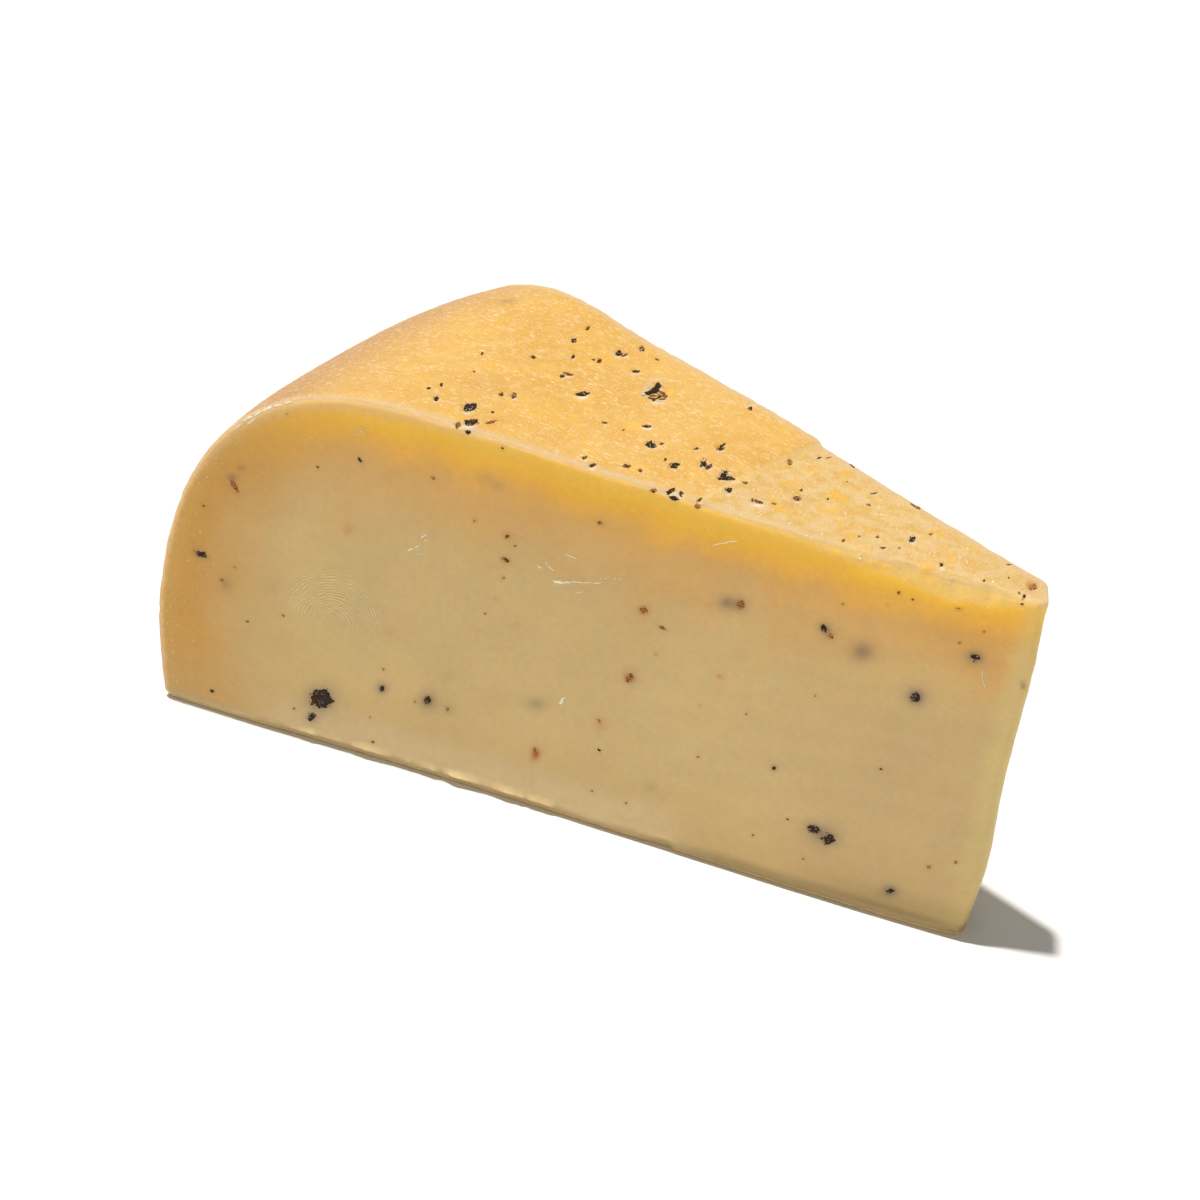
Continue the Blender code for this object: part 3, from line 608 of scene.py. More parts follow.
def out_of_round(p):
    """The wheel's shoulder dips, then stands out, as its solid does."""
    d = p[:, :2] - AXIS
    radius = np.hypot(d[:, 0], d[:, 1])
    turn = np.degrees(np.arctan2(d[:, 1], -d[:, 0]))
    amount = -0.75 * bell(turn - 12.5, 7.5) + 0.45 * sstep(20.0, 28.0, turn)
    amount *= sstep(96.0, 122.0, radius) * sstep(12.0, 34.0, p[:, 2])
    out = np.maximum(0.0, (radius - SHOULDER_START) / (WHEEL_RADIUS - SHOULDER_START))
    up = np.maximum(0.0, (p[:, 2] - SIDE_HEIGHT) / (SHOULDER_HEIGHT - SIDE_HEIGHT))
    size = np.maximum(1e-6, np.hypot(out, up))
    along = amount * out / size / np.maximum(radius, 1.0)
    return np.column_stack((along * d[:, 0], along * d[:, 1], amount * up / size))


def weave_place(uv):
    """Coordinates along and across the pressing cloth's threads, in mm, on the rind chart."""
    u = np.maximum(uv[:, 0], -112.0) + 0.45 * (np.minimum(uv[:, 0], -112.0) + 112.0)
    x, y = u + AXIS[0], uv[:, 1] + AXIS[1]
    v = y + 0.69 * (x + 100.0) + 0.5 * 0.0069 * (x * x - 1e4) + 0.003 * (x + 100.0) * y
    return np.column_stack((uv[:, 0], v))


def rind_relief(uv, p):
    """Normal offset of the rind away from its edges."""
    side, along = fold_place(p)
    patchy = sstep(0.0, 1.2, -side)
    flat = uv + 0.0
    wobble = fractal(flat, 7.0, 3, 41)
    weave = weave_place(uv)
    thread = np.cos(2 * math.pi * weave[:, 1] / 1.7)
    smooth = 0.08 * wobble + 0.012 * thread * (0.5 + 0.5 * noise(flat, 3.0, 44))
    smooth += 0.05 * noise(flat, 1.3, 42)
    blotch = 0.16 * fractal(flat, 3.4, 3, 51) + 0.09 * noise(flat, 1.2, 52)
    return smooth * (1 - 0.7 * patchy) + blotch * patchy


def wall_relief(az, p):
    a = az[:, 0]
    front = a < 1.0
    place = on_upright(p)
    total = 0.13 * fractal(az, 16.0, 2, 61) + 0.05 * fractal(az, 4.5, 3, 62)
    drag = np.sin(2 * math.pi * (az[:, 1] - 0.12 * a) / 5.5 + 2.0 * noise(az, 12.0, 63))
    total += 0.025 * drag
    marks = stroke_field(place, STROKES)
    pits = spot_field(place, [(x, y, 0.5 * l, 0.5 * w, -t) for x, y, l, w, t, k in FRONT_FLECKS if k < 3], pit(0.16, 0.03))
    return total + np.where(front, marks + pits, 0.0)


def fillet(distance, radius):
    """In-plane place and inward offset of a point this far from a square edge."""
    t = np.clip(1.0 - distance / radius, 0.0, 1.0) * math.pi / 4
    return np.where(distance < radius, radius - radius * np.sin(t), distance), radius * (1 - np.cos(t))


def foot_lip(p):
    """The thin torn lip along the front cut's lower edge, how far it stands out."""
    d = -p[:, 0]
    low = bell(p[:, 2] - undercut_height(d) - 0.2, 0.6) * (p[:, 1] < 2.0)
    torn = 0.5 + 0.5 * noise(np.column_stack((d, 0 * d)), 2.3, 91) + 0.35 * noise(np.column_stack((d, 0 * d)), 0.9, 92)
    reach = 0.55 * sstep(66.0, 80.0, d) * (1.0 - sstep(116.0, 124.0, d)) + 0.12 * sstep(55.0, 66.0, d)
    gaps = 1.0 - bell(d - 101.1, 0.8) - bell(d - 93.0, 0.9)
    return low * reach * np.clip(torn, 0.0, 1.3) * np.clip(gaps, 0.0, 1.0)


# --- the body -----------------------------------------------------------------------
def build_body():
    rng = np.random.default_rng(11)
    s_edge, az_edge = rim_edge(0.45, 0.7)
    base_edge = wall_base(az_edge)
    uv_edge = rind_chart(base_edge, s_edge)
    count = len(s_edge)
    a0, a1 = az_edge[0, 0], az_edge[-1, 0]
    a_low = np.concatenate(
        (
            np.linspace(a0, 0.0, int(-a0 / 0.6))[1:],
            np.linspace(0.0, NOSE_END, int(NOSE_END / 0.4))[1:],
            np.linspace(NOSE_END, a1, int((a1 - NOSE_END) / 1.0))[1:-1],
        )
    )
    az_low = np.column_stack((a_low, 0 * a_low))
    base_low = wall_base(az_low)
    turn0 = math.atan2(uv_edge[-1, 1], -uv_edge[-1, 0])
    turn1 = math.atan2(uv_edge[0, 1], -uv_edge[0, 0])
    turn = np.linspace(turn0, turn1, int(abs(turn0 - turn1) * 145.0 / 0.9))[1:-1]
    uv_foot = SEC_END * np.column_stack((-np.cos(turn), np.sin(turn)))
    base_foot, _ = rind_point(uv_foot)

    i_edge = np.arange(count)
    i_low = count + np.arange(len(az_low))
    i_foot = count + len(az_low) + np.arange(len(uv_foot))

    # rind
    loop_r = np.concatenate((uv_edge, uv_foot))
    ids_r = np.concatenate((i_edge, i_foot))

    def rind_size(p):
        q, _ = rind_point(p)
        size = np.full(len(p), RIND_STEP)
        side, along = fold_place(q)
        d = -q[:, 0]
        fine = (np.abs(side + 0.1) < 1.3) & (along > -0.06) & (along < 1.05)
        fine |= (d > 0.0) & (d < 68.0) & (q[:, 1] < 1.0 + 0.8 * broken_drop(d))
        for x, y, long, wide, turn, kind in TOP_FLECKS + WOODY[:4]:
            if long > 1.6:
                fine |= np.hypot(q[:, 0] - x, q[:, 1] - y) < 0.5 * long + 0.6
        s = np.hypot(p[:, 0], p[:, 1])
        size[s > 150.0] = 2 * RIND_STEP
        size[fine & (s < 110)] = 0.5 * RIND_STEP
        return size

    inner_r = fill_chart(loop_r, (2 * RIND_STEP, RIND_STEP, 0.5 * RIND_STEP), rind_size, (0.16, 0.42), rng)
    pts_r, tri_r = triangles(loop_r, inner_r)

    # wall
    loop_w = np.concatenate((az_edge[:1], az_low, az_edge[-1:], az_edge[-2:0:-1]))
    ids_w = np.concatenate((i_edge[:1], i_low, i_edge[-1:], i_edge[-2:0:-1]))
    fine_marks = [(-x, z, 0.9) for x, z, l, w, t, k in FRONT_FLECKS if l > 1.2]

    def wall_size(p):
        size = np.where(p[:, 0] < NOSE_END + 2.0, FRONT_STEP, 2 * FRONT_STEP)
        d = -p[:, 0]
        fine = (d > 66.0) & (d < 84.0) & (p[:, 1] > 40.0) & (p[:, 1] < 50.5)
        fine |= (d > 0.0) & (d < 68.0) & (p[:, 1] > 62.2 + 0.03 * d - broken_drop(d) - 0.8)
        fine |= p[:, 1] < undercut_height(d) + 0.9
        for x, z, r in fine_marks:
            fine |= np.hypot(p[:, 0] - x, p[:, 1] - z) < r + 1.0
        size[fine & (p[:, 0] < 0)] = 0.5 * FRONT_STEP
        return size

    inner_w = fill_chart(loop_w, (2 * FRONT_STEP, FRONT_STEP, 0.5 * FRONT_STEP), wall_size, (0.16, 0.45), rng)
    pts_w, tri_w = triangles(loop_w, inner_w)

    # underside
    plan_edge = base_edge[[0, -1], :2]
    loop_u = np.concatenate((plan_edge[:1], base_low[:, :2], plan_edge[1:], base_foot[:, :2]))
    ids_u = np.concatenate((i_edge[:1], i_low, i_edge[-1:], i_foot))
    inner_u = fill_chart(loop_u, (UNDER_STEP,), lambda p: np.full(len(p), UNDER_STEP), (0.3,), rng)
    pts_u, tri_u = triangles(loop_u, inner_u)

    first_r = count + len(az_low) + len(uv_foot)
    first_w = first_r + len(inner_r)
    first_u = first_w + len(inner_w)
    total = first_u + len(inner_u)
    map_r = np.concatenate((ids_r, first_r + np.arange(len(inner_r))))
    map_w = np.concatenate((ids_w, first_w + np.arange(len(inner_w))))
    map_u = np.concatenate((ids_u, first_u + np.arange(len(inner_u))))
    faces = np.concatenate((map_r[tri_r], map_w[tri_w], map_u[tri_u][:, ::-1]))
    slot = np.concatenate((np.zeros(len(tri_r)), np.ones(len(tri_w)), np.zeros(len(tri_u)))).astype(int)

    # places
    p = np.zeros((total, 3))
    _, n_edge_r = rind_point(uv_edge)
    _, n_edge_w = wall_point(az_edge)
    keep = 1 - math.cos(math.pi / 4)
    soft_edge = TOP_FILLET + 0.6 * (az_edge[:, 0] < 0.0) * sstep(25.0, 55.0, -base_edge[:, 0])
    p[i_edge] = base_edge - keep * soft_edge[:, None] * (n_edge_r + n_edge_w)
    _, n_low = wall_point(az_low)
    p[i_low] = base_low - keep * FOOT_FILLET * (n_low + np.array((0.0, 0.0, -1.0)))
    p[i_foot] = base_foot

    d_r, k_r = nearest(inner_r, uv_edge)
    plane, sink = fillet(d_r, soft_edge[k_r])
    moved = uv_edge[k_r] + (inner_r - uv_edge[k_r]) * (plane / d_r)[:, None]
    q, n = rind_point(moved)
    relief = rind_relief(moved, q) * sstep(0.1, 1.0, d_r)
    top_pits = [(x, y, 0.5 * l, 0.5 * w, t) for x, y, l, w, t, k in TOP_FLECKS if k < 3]
    top_pits.append((-74.0, 31.6, 2.4, 1.6, 75))
    relief += spot_field(q[:, :2], top_pits, pit(0.30, 0.06)) * sstep(40.0, 55.0, q[:, 2])
    p[first_r:first_w] = q + n * (relief - sink)[:, None]

    line_w = np.concatenate((az_edge, az_low))
    d_w, k_w = nearest(inner_w, line_w)
    plane, sink = fillet(d_w, np.where(k_w < count, soft_edge[np.minimum(k_w, count - 1)], FOOT_FILLET))
    moved = line_w[k_w] + (inner_w - line_w[k_w]) * (plane / d_w)[:, None]
    q, n = wall_point(moved)
    relief = wall_relief(moved, q) * sstep(0.1, 1.0, d_w)
    p[first_w:first_u] = q + n * (relief - sink)[:, None]

    d_u, k_u = nearest(inner_u, base_low[:, :2])
    plane, sink = fillet(d_u, FOOT_FILLET)
    moved = base_low[k_u, :2] + (inner_u - base_low[k_u, :2]) * (plane / d_u)[:, None]
    lift = 0.10 * (0.5 + 0.5 * noise(moved, 6.0, 71)) * sstep(0.5, 4.0, d_u)
    d_foot, _ = nearest(inner_u, base_foot[:, :2])
    lift *= sstep(0.5, 4.0, d_foot)
    p[first_u:] = np.column_stack((moved, sink + lift))

    # what crosses the edges
    ragged = np.zeros(total)
    ragged[i_edge] = 1.0
    ragged[first_r:first_w] = bell(d_r, 0.9)
    ragged[first_w:first_u] = bell(np.where(k_w < count, d_w, 9.0), 0.9)
    shiver = np.column_stack([noise(p, 1.4, 80 + k) for k in range(3)])
    p += 0.10 * ragged[:, None] * shiver
    rise, bend = top_shift(p), out_of_round(p)
    p[:, 2] += rise
    p += bend
    p[:, 1] -= foot_lip(p)
    p, worn = break_edge(p)
    p[:, 2] = np.maximum(p[:, 2], 0.0)

    # what the looks read
    rim = np.full(total, 99.0)
    rim[i_edge] = 0.0
    rim[first_r:first_w] = d_r
    d_top, k_top = nearest(inner_w, az_edge)
    rim[first_w:first_u] = d_top
    d_low, k_low = nearest(az_low, az_edge)
    rim[i_low] = d_low
    s_near = np.full(total, 0.0)
    s_near[i_edge] = s_edge
    s_near[first_w:first_u] = s_edge[k_top]
    s_near[i_low] = s_edge[k_low]
    s_near[first_r:first_w] = np.hypot(inner_r[:, 0], inner_r[:, 1])
    s_near[i_foot] = SEC_END
    chart = np.zeros((total, 2))
    chart[i_edge] = weave_place(uv_edge)
    chart[i_foot] = weave_place(uv_foot)
    chart[first_r:first_w] = weave_place(inner_r)
    chart[first_u:] = p[first_u:, :2]
    place = on_upright(p)
    face = np.zeros(total)
    face[first_w:first_u] = 1.0
    face[i_edge] = 0.5
    face[i_low] = 1.0
    front = (p[:, 1] < 3.0) & (face > 0.4)
    crown = (face < 0.6) & (p[:, 2] > 30.0)

    def soft(u, v, spot):
        return spot[6] * np.exp(-1.5 * (u * u + v * v) ** 0.9)

    chance = np.random.default_rng(5)
    # painted highlight: a pale crescent below each big fleck on top, on the lit edge of its pit
    pit_highlights = []
    for x, y, long, wide, turn, kind in TOP_FLECKS:
        if kind < 2 and long > 1.0 and chance.random() < 0.8:
            shift = chance.uniform(-0.3, 0.3) * long
            pit_highlights.append((x + 0.25, y - 0.5 * wide - 0.25 + 0.2 * shift, 0.42 * long, 0.32 + 0.12 * wide,
                              turn + chance.uniform(-20, 20), 2, chance.uniform(0.55, 0.95)))
    halos = []  # what the flecks in the cut have coloured round them
    for x, y, long, wide, turn, kind in FRONT_FLECKS:
        share, reach, tint = ((0.4, 0.85, 0), (0.3, 0.8, 1), (0.4, 0.8, 1), (0.5, 0.6, 1))[kind]
        halos.append((x, y, reach * long + 0.1, reach * wide + 0.1, turn, tint, share))
    stains = np.zeros((total, 4))
    for kind in range(5):
        on_front = [(x, y, a, b, -t, k, s) for x, y, a, b, t, k, s in FRONT_STAINS + tuple(halos) if k == kind]
        on_top = [s for s in TOP_STAINS + tuple(pit_highlights) if s[5] == kind]
        column = (0, 1, 2, 3, 3)[kind]
        stains[:, column] += np.where(front, spot_field(place, on_front, soft), 0.0)
        stains[:, column] += np.where(crown, spot_field(p[:, :2], on_top, soft), 0.0)
    # painted highlight: the raised knife strokes made paler where they catch the grazing light
    stroke_highlight = np.maximum(0.0, stroke_field(place, STROKES)) * (front & (p[:, 1] < 3.0))
    stains[:, 2] += 1.5 * stroke_highlight
    stains[:, 2] += 1.7 * foot_lip(p) * front
    side, along = fold_place(p)
    bands = np.column_stack(
        (
            rim / 40.0,
            sstep(112.0, 150.0, s_near),
            worn,
            np.where(face < 0.6, sstep(-0.3, 0.9, -side), 0.0),
        )
    )
    line = bell(side - 0.1, 0.35) * sstep(-0.05, 0.03, along) * (1 - sstep(1.0, 1.06, along))
    extras = np.column_stack((chart, line * (face < 0.6)))

    mesh = bpy.data.meshes.new("cheese_body")
    mesh.from_pydata((p + SHIFT) * MM, [], faces.tolist())
    mesh.polygons.foreach_set("material_index", slot)
    mesh.shade_smooth()

    def attribute(name, kind, values, field):
        made = mesh.attributes.new(name, kind, "POINT")
        made.data.foreach_set(field, np.ascontiguousarray(values, np.float32).ravel())

    attribute("stains", "FLOAT_COLOR", np.clip(stains, 0, 1), "color")
    attribute("bands", "FLOAT_COLOR", np.clip(bands, 0, 1), "color")
    attribute("weave", "FLOAT_VECTOR", extras, "vector")
    attribute("place", "FLOAT_VECTOR", p, "vector")
    mesh.validate()
    body = bpy.data.objects.new("cheese_body", mesh)
    bpy.context.scene.collection.objects.link(body)
    print(f"body: {len(p)} points, {len(faces)} triangles")
    tree = BVHTree.FromPolygons([Vector(v) for v in p], faces.tolist())
    return body, tree


# --- flecks as real chips --------------------------------------------------------------
def chip(tree, centre, normal, long, wide, turn_axis, rng, height, store, tone, tilt=0.0, ragged=0.32, leaf=0.0):
    """An irregular flat chip that follows the surface, its foot sunk in it."""
    t1 = turn_axis - normal * (turn_axis @ normal)
    t1 /= np.linalg.norm(t1)
    t2 = np.cross(normal, t1)
    n = int(np.clip(6 + 3 * max(long, wide), 6, 13))
    angles = (np.arange(n) + rng.uniform(-0.36, 0.36, n)) * 2 * math.pi / n
    reach = 0.92 + rng.uniform(-ragged, ragged, n)
    rings = (1.0, 0.55)
    verts, faces = [], []

    def on(u, v, h):
        q = centre + t1 * u + t2 * v
        hit, _, _, _ = tree.ray_cast(Vector(q + normal * 2.5), Vector(-normal), 6.0)
        if hit is not None:
            drop = (np.array(hit) - q) @ normal
            q = q + normal * np.clip(drop, -0.55, 0.55)
        return q + normal * (h + (tilt * u / long if h > 0 else 0.0))

    thick = min(1.0, max(0.35, wide))
    for share in (1.03,) + rings:
        for a, r in zip(angles, reach):
            u = 0.5 * long * share * r * math.cos(a)
            v = 0.5 * wide * share * r * math.sin(a) * abs(math.sin(a)) ** leaf
            h = -0.2 * thick if share > 1.0 else height * (1.0 - 0.35 * share**3) * (1.0 + rng.uniform(-0.4, 0.4))
            verts.append(on(u, v, h))
    verts.append(on(0.0, 0.0, height))
    verts.append(on(0.0, 0.0, -0.32 * thick))
    layers = 1 + len(rings)
    for k in range(layers - 1):
        for i in range(n):
            j = (i + 1) % n
            faces.append((k * n + i, k * n + j, (k + 1) * n + j, (k + 1) * n + i))
    top, low = layers * n, layers * n + 1
    for i in range(n):
        j = (i + 1) % n
        faces.append(((layers - 1) * n + i, (layers - 1) * n + j, top))
        faces.append((j, i, low))
    start = len(store["verts"])
    store["verts"].extend(verts)
    store["faces"].extend(tuple(start + i for i in f) for f in faces)
    store["tone"].extend([tone] * len(verts))


def surface_at(tree, point, way):
    hit, normal, _, _ = tree.ray_cast(Vector(point - way * 8.0), Vector(way), 20.0)
    if hit is None:
        return None, None
    return np.array(hit), np.array(normal)


def cluster(tree, centre, normal, long, wide, axis, rng, height, stores, kind):
    """A fleck: one ragged chip where it is small, a heap of narrow shards where it is big."""
    black, brown, pale = stores
    size = math.sqrt(long * wide)
    axis = axis - normal * (axis @ normal)
    axis /= np.linalg.norm(axis)
    side = np.cross(normal, axis)

    def store_of():
        roll = rng.random()
        if kind == 0:
            return (black, rng.uniform(0.0, 0.25)) if roll < (0.9 if size > 2.6 else 0.76) else (brown, rng.uniform(0.2, 0.7))
        if kind == 1:
            return (black, rng.uniform(0.2, 0.4)) if roll < 0.3 else (brown, rng.uniform(0.2, 0.7))
        return brown, rng.uniform(1.0, 1.9)

    if size < 0.75:
        store, tone = store_of()
        chip(tree, centre, normal, long, wide, axis, rng, height, store, tone)
        if size > 0.5 and rng.random() < 0.5:
            store, tone = store_of()
            q = centre + axis * rng.uniform(-0.5, 0.5) * long + side * rng.choice((-0.5, 0.5)) * wide
            chip(tree, q, normal, 0.35 * long, 0.4 * wide, axis + side * rng.uniform(-1, 1), rng, height, store, tone)
        return
    flat = wide / long
    count = int(3 + 2.6 * size + 16 * max(0.0, size - 2.6))
    for k in range(count):
        store, tone = store_of()
        if k < 2:  # two flakes carry its outline, the rest lie about on them
            if kind == 0:
                store, tone = black, rng.uniform(0.0, 0.2)
            q = centre + (axis * rng.uniform(-0.12, 0.12) * long + side * rng.uniform(-0.15, 0.15) * wide) * k
            run, across = (long * 1.04, wide * 0.86) if k == 0 else (long * 0.62, wide * 0.7)
            lean = rng.uniform(-0.15, 0.15) + k * rng.uniform(-0.9, 0.9)
            chip(tree, q, normal, run, across, axis + side * lean, rng, height * (0.9 + 0.5 * k), store, tone,
                 tilt=height * rng.uniform(-1.5, 1.5), ragged=0.2, leaf=0.55)
            continue
        r, turn = math.sqrt(rng.random()) * 0.4, rng.uniform(0, 2 * math.pi)
        q = centre + axis * r * long * math.cos(turn) + side * r * wide * math.sin(turn)
        run = long * rng.uniform(0.25, 0.5)
        across = max(0.16, min(run * rng.uniform(0.25, 0.55), wide * 0.6))
        lean = rng.uniform(-1, 1) * (0.35 + 0.9 * flat)
        chip(tree, q, normal, run, across, axis + side * lean, rng, height * rng.uniform(0.7, 1.6), store, tone,
             tilt=height * rng.uniform(-1.2, 1.2))
    for _ in range(int(0.5 + 1.8 * size)):
        store, tone = store_of()
        turn = rng.uniform(0, 2 * math.pi)
        q = centre + axis * 0.56 * long * math.cos(turn) + side * 0.56 * wide * math.sin(turn)
        tiny = rng.uniform(0.16, 0.34)
        chip(tree, q, normal, tiny, tiny * rng.uniform(0.4, 0.9), rng.normal(size=3), rng, 0.5 * height, store, tone)
    for _ in range(int(1.5 * size * size)):
        turn, r = rng.uniform(0, 2 * math.pi), rng.uniform(0.1, 0.5)
        q = centre + axis * r * long * math.cos(turn) + side * r * wide * math.sin(turn)
        tiny = rng.uniform(0.15, 0.32)
        chip(tree, q, normal, tiny, tiny * 0.6, rng.normal(size=3), rng, 1.8 * height, pale, rng.uniform(0.5, 1.0))


def piece(name, store, slot_material, smooth=False):
    mesh = bpy.data.meshes.new(name)
    mesh.from_pydata((np.array(store["verts"]) + SHIFT) * MM, [], store["faces"])
    made = mesh.attributes.new("tone", "FLOAT", "POINT")
    made.data.foreach_set("value", np.array(store["tone"], np.float32))
    mesh.validate()
    if smooth:
        mesh.shade_smooth()
    else:
        mesh.shade_smooth()
        mesh.set_sharp_from_angle(angle=math.radians(28.0))
    obj = bpy.data.objects.new(name, mesh)
    bpy.context.scene.collection.objects.link(obj)
    mesh.materials.append(slot_material)
    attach(obj, "root")
    return obj


def build_flecks(tree):
    rng = np.random.default_rng(23)
    black, brown, pale = stores = [{"verts": [], "faces": [], "tone": []} for _ in range(3)]

    def on_front(d, z):
        point = np.array((-d, 0.0, z))
        way = point - SEEN_FROM
        return surface_at(tree, point, way / np.linalg.norm(way))

    for d, z, long, wide, turn, kind in FRONT_FLECKS:
        if kind == 3:
            continue
        centre, normal = on_front(d, z)
        if centre is None:
            continue
        c, s = math.cos(math.radians(turn)), math.sin(math.radians(turn))
        if kind == 1 and long < 0.9 and rng.random() < 0.75:
            kind = 2
        cluster(tree, centre, normal, long, wide, np.array((c, 0.0, s)), rng, 0.03 + 0.02 * min(long, 2.0), stores, kind)
    down = np.array((0.0, 0.0, -1.0))
    slanting = np.array((-0.165, 0.852, -0.497))
    for x, y, long, wide, turn, kind in TOP_FLECKS:
        if kind == 3:
            continue
        centre, normal = surface_at(tree, np.array((x, y, float(top_height(math.hypot(x, y))))), slanting)
        if centre is None:
            continue
        c, s = math.cos(math.radians(turn)), math.sin(math.radians(turn))
        axis = np.array((c, s, 0.0))
        if normal[1] < -0.7:  # just below the edge, where lengths across it are upright
            axis, long, wide = np.array((1.0, 0.0, 0.3)), 0.9 * wide + 0.2, 0.45 * long + 0.1
        cluster(tree, centre, normal, long, wide, axis, rng, 0.05 + 0.04 * min(long, 2.0), stores, kind)
    for x, y, long, wide, turn, kind in WOODY:
        centre, normal = surface_at(tree, np.array((x, y, 65.0)), down)
        c, s = math.cos(math.radians(turn)), math.sin(math.radians(turn))
        store, tone = ((black, 0.05), (brown, 0.15), (brown, 0.75), None, None, (pale, 0.8))[kind]
        chip(tree, centre, normal, long, wide, np.array((c, s, 0.0)), rng, rng.uniform(0.12, 0.3), store, tone,
             tilt=rng.uniform(-0.15, 0.15), ragged=0.22)
    # the cut and the rind on the far side, and the underside, carry the same mix
    along = np.array((-math.cos(WEDGE_ANGLE), math.sin(WEDGE_ANGLE), 0.0))
    outward = np.array((math.sin(WEDGE_ANGLE), math.cos(WEDGE_ANGLE), 0.0))
    for _ in range(70):
        travel, z = rng.uniform(6.0, 138.0), rng.uniform(3.0, 60.0)
        centre, normal = surface_at(tree, outward * 5.0 + along * travel + np.array((0, 0, z)), -outward)
        if centre is None or abs(normal @ outward) < 0.9:
            continue
        big = rng.random()
        long = 0.45 + 1.9 * big**5
        kind = 0 if rng.random() < 0.25 + 0.6 * big**3 else int(rng.integers(1, 3))
        cluster(tree, centre, normal, long, long * rng.uniform(0.5, 0.95), along + np.array((0, 0, rng.uniform(-1, 1))), rng,
                0.03 + 0.02 * long, stores, kind)
    for _ in range(26):
        turn, z = math.radians(rng.uniform(1.0, 29.0)), rng.uniform(4.0, 52.0)
        way = np.array((math.cos(turn), -math.sin(turn), 0.0))
        centre, normal = surface_at(tree, np.array((AXIS[0], AXIS[1], z)) - way * 146.0, way)
        if centre is None:
            continue
        big = rng.random()
        long = 0.5 + 2.2 * big**5
        cluster(tree, centre, normal, long, long * rng.uniform(0.4, 0.9), np.array((0, 0, 1.0)) + 0.8 * rng.normal(size=3), rng,
                0.06 + 0.04 * long, stores, 0 if rng.random() < 0.6 else 1)
    for _ in range(24):
        r, turn = 140.0 * math.sqrt(rng.random()), math.radians(rng.uniform(3.0, 27.0))
        x, y = AXIS[0] - r * math.cos(turn), AXIS[1] + r * math.sin(turn)
        centre, normal = surface_at(tree, np.array((x, y, 4.0)), np.array((0.0, 0.0, 1.0)))
        if centre is None or normal[2] > -0.9:
            continue
        long = 0.5 + 2.0 * rng.random() ** 4
        cluster(tree, centre, -np.abs(normal) * np.array((0, 0, 1.0)), long, long * 0.6, np.array((1.0, rng.uniform(-1, 1), 0)), rng,
                0.02, stores, 0 if rng.random() < 0.6 else 1)
    # crumbs: one on the front cut, the slivers, the rest along the broken edge
    for d, z, long in ((74.6, 20.9, 1.3), (74.2, 21.6, 0.6)):
        centre, normal = on_front(d, z)
        chip(tree, centre, normal, long, 0.45 * long, np.array((0.3, 0, 1.0)), rng, 0.3 * long, pale, 0.3)
    for d0, z0, d1, z1, width in SLIVERS:
        run = np.array((d0 - d1, 0.0, z1 - z0))
        length = float(np.linalg.norm(run))
        pieces = max(1, int(length / 0.9))
        for k in range(pieces):
            t = (k + 0.5) / pieces
            centre, normal = on_front(d0 + (d1 - d0) * t, z0 + (z1 - z0) * t)
            if centre is None:
                continue
            chip(tree, centre, normal, 1.3 * length / pieces, width * rng.uniform(0.75, 1.25), run + 0.12 * length * rng.normal(size=3),
                 rng, 0.05 + 0.14 * width, pale, 0.0, ragged=0.2)
    for _ in range(26):
        d = rng.uniform(8.0, 60.0)
        centre, normal = surface_at(tree, np.array((-d, rng.uniform(0.2, 3.0), 62.0)), down)
        if centre is None:
            continue
        long = rng.uniform(0.25, 0.6)
        chip(tree, centre, normal, long, 0.6 * long, rng.normal(size=3), rng, 0.14 * long, pale, 0.2)
    # fine smeared specks close to the rim of the cut
    for _ in range(55):
        z = rng.uniform(2.0, 60.0)
        radius = float(np.interp(z, SEC_Z[1240:][::-1], SEC_R[1240:][::-1])) if z > 20 else 147.0
        d = radius - 0.4 - abs(rng.normal()) * 5.0
        centre, normal = on_front(d, z)
        if centre is None:
            continue
        long = rng.uniform(0.14, 0.34)
        chip(tree, centre, normal, long, long * rng.uniform(0.4, 0.8), rng.normal(size=3), rng, 0.04, pale, 0.0)
    return stores


# --- node materials -----------------------------------------------------------------------
def lin(r, g, b):
    out = []
    for c in (r, g, b):
        c = c / 255.0
        out.append(c / 12.92 if c <= 0.04045 else ((c + 0.055) / 1.055) ** 2.4)
    return (*out, 1.0)


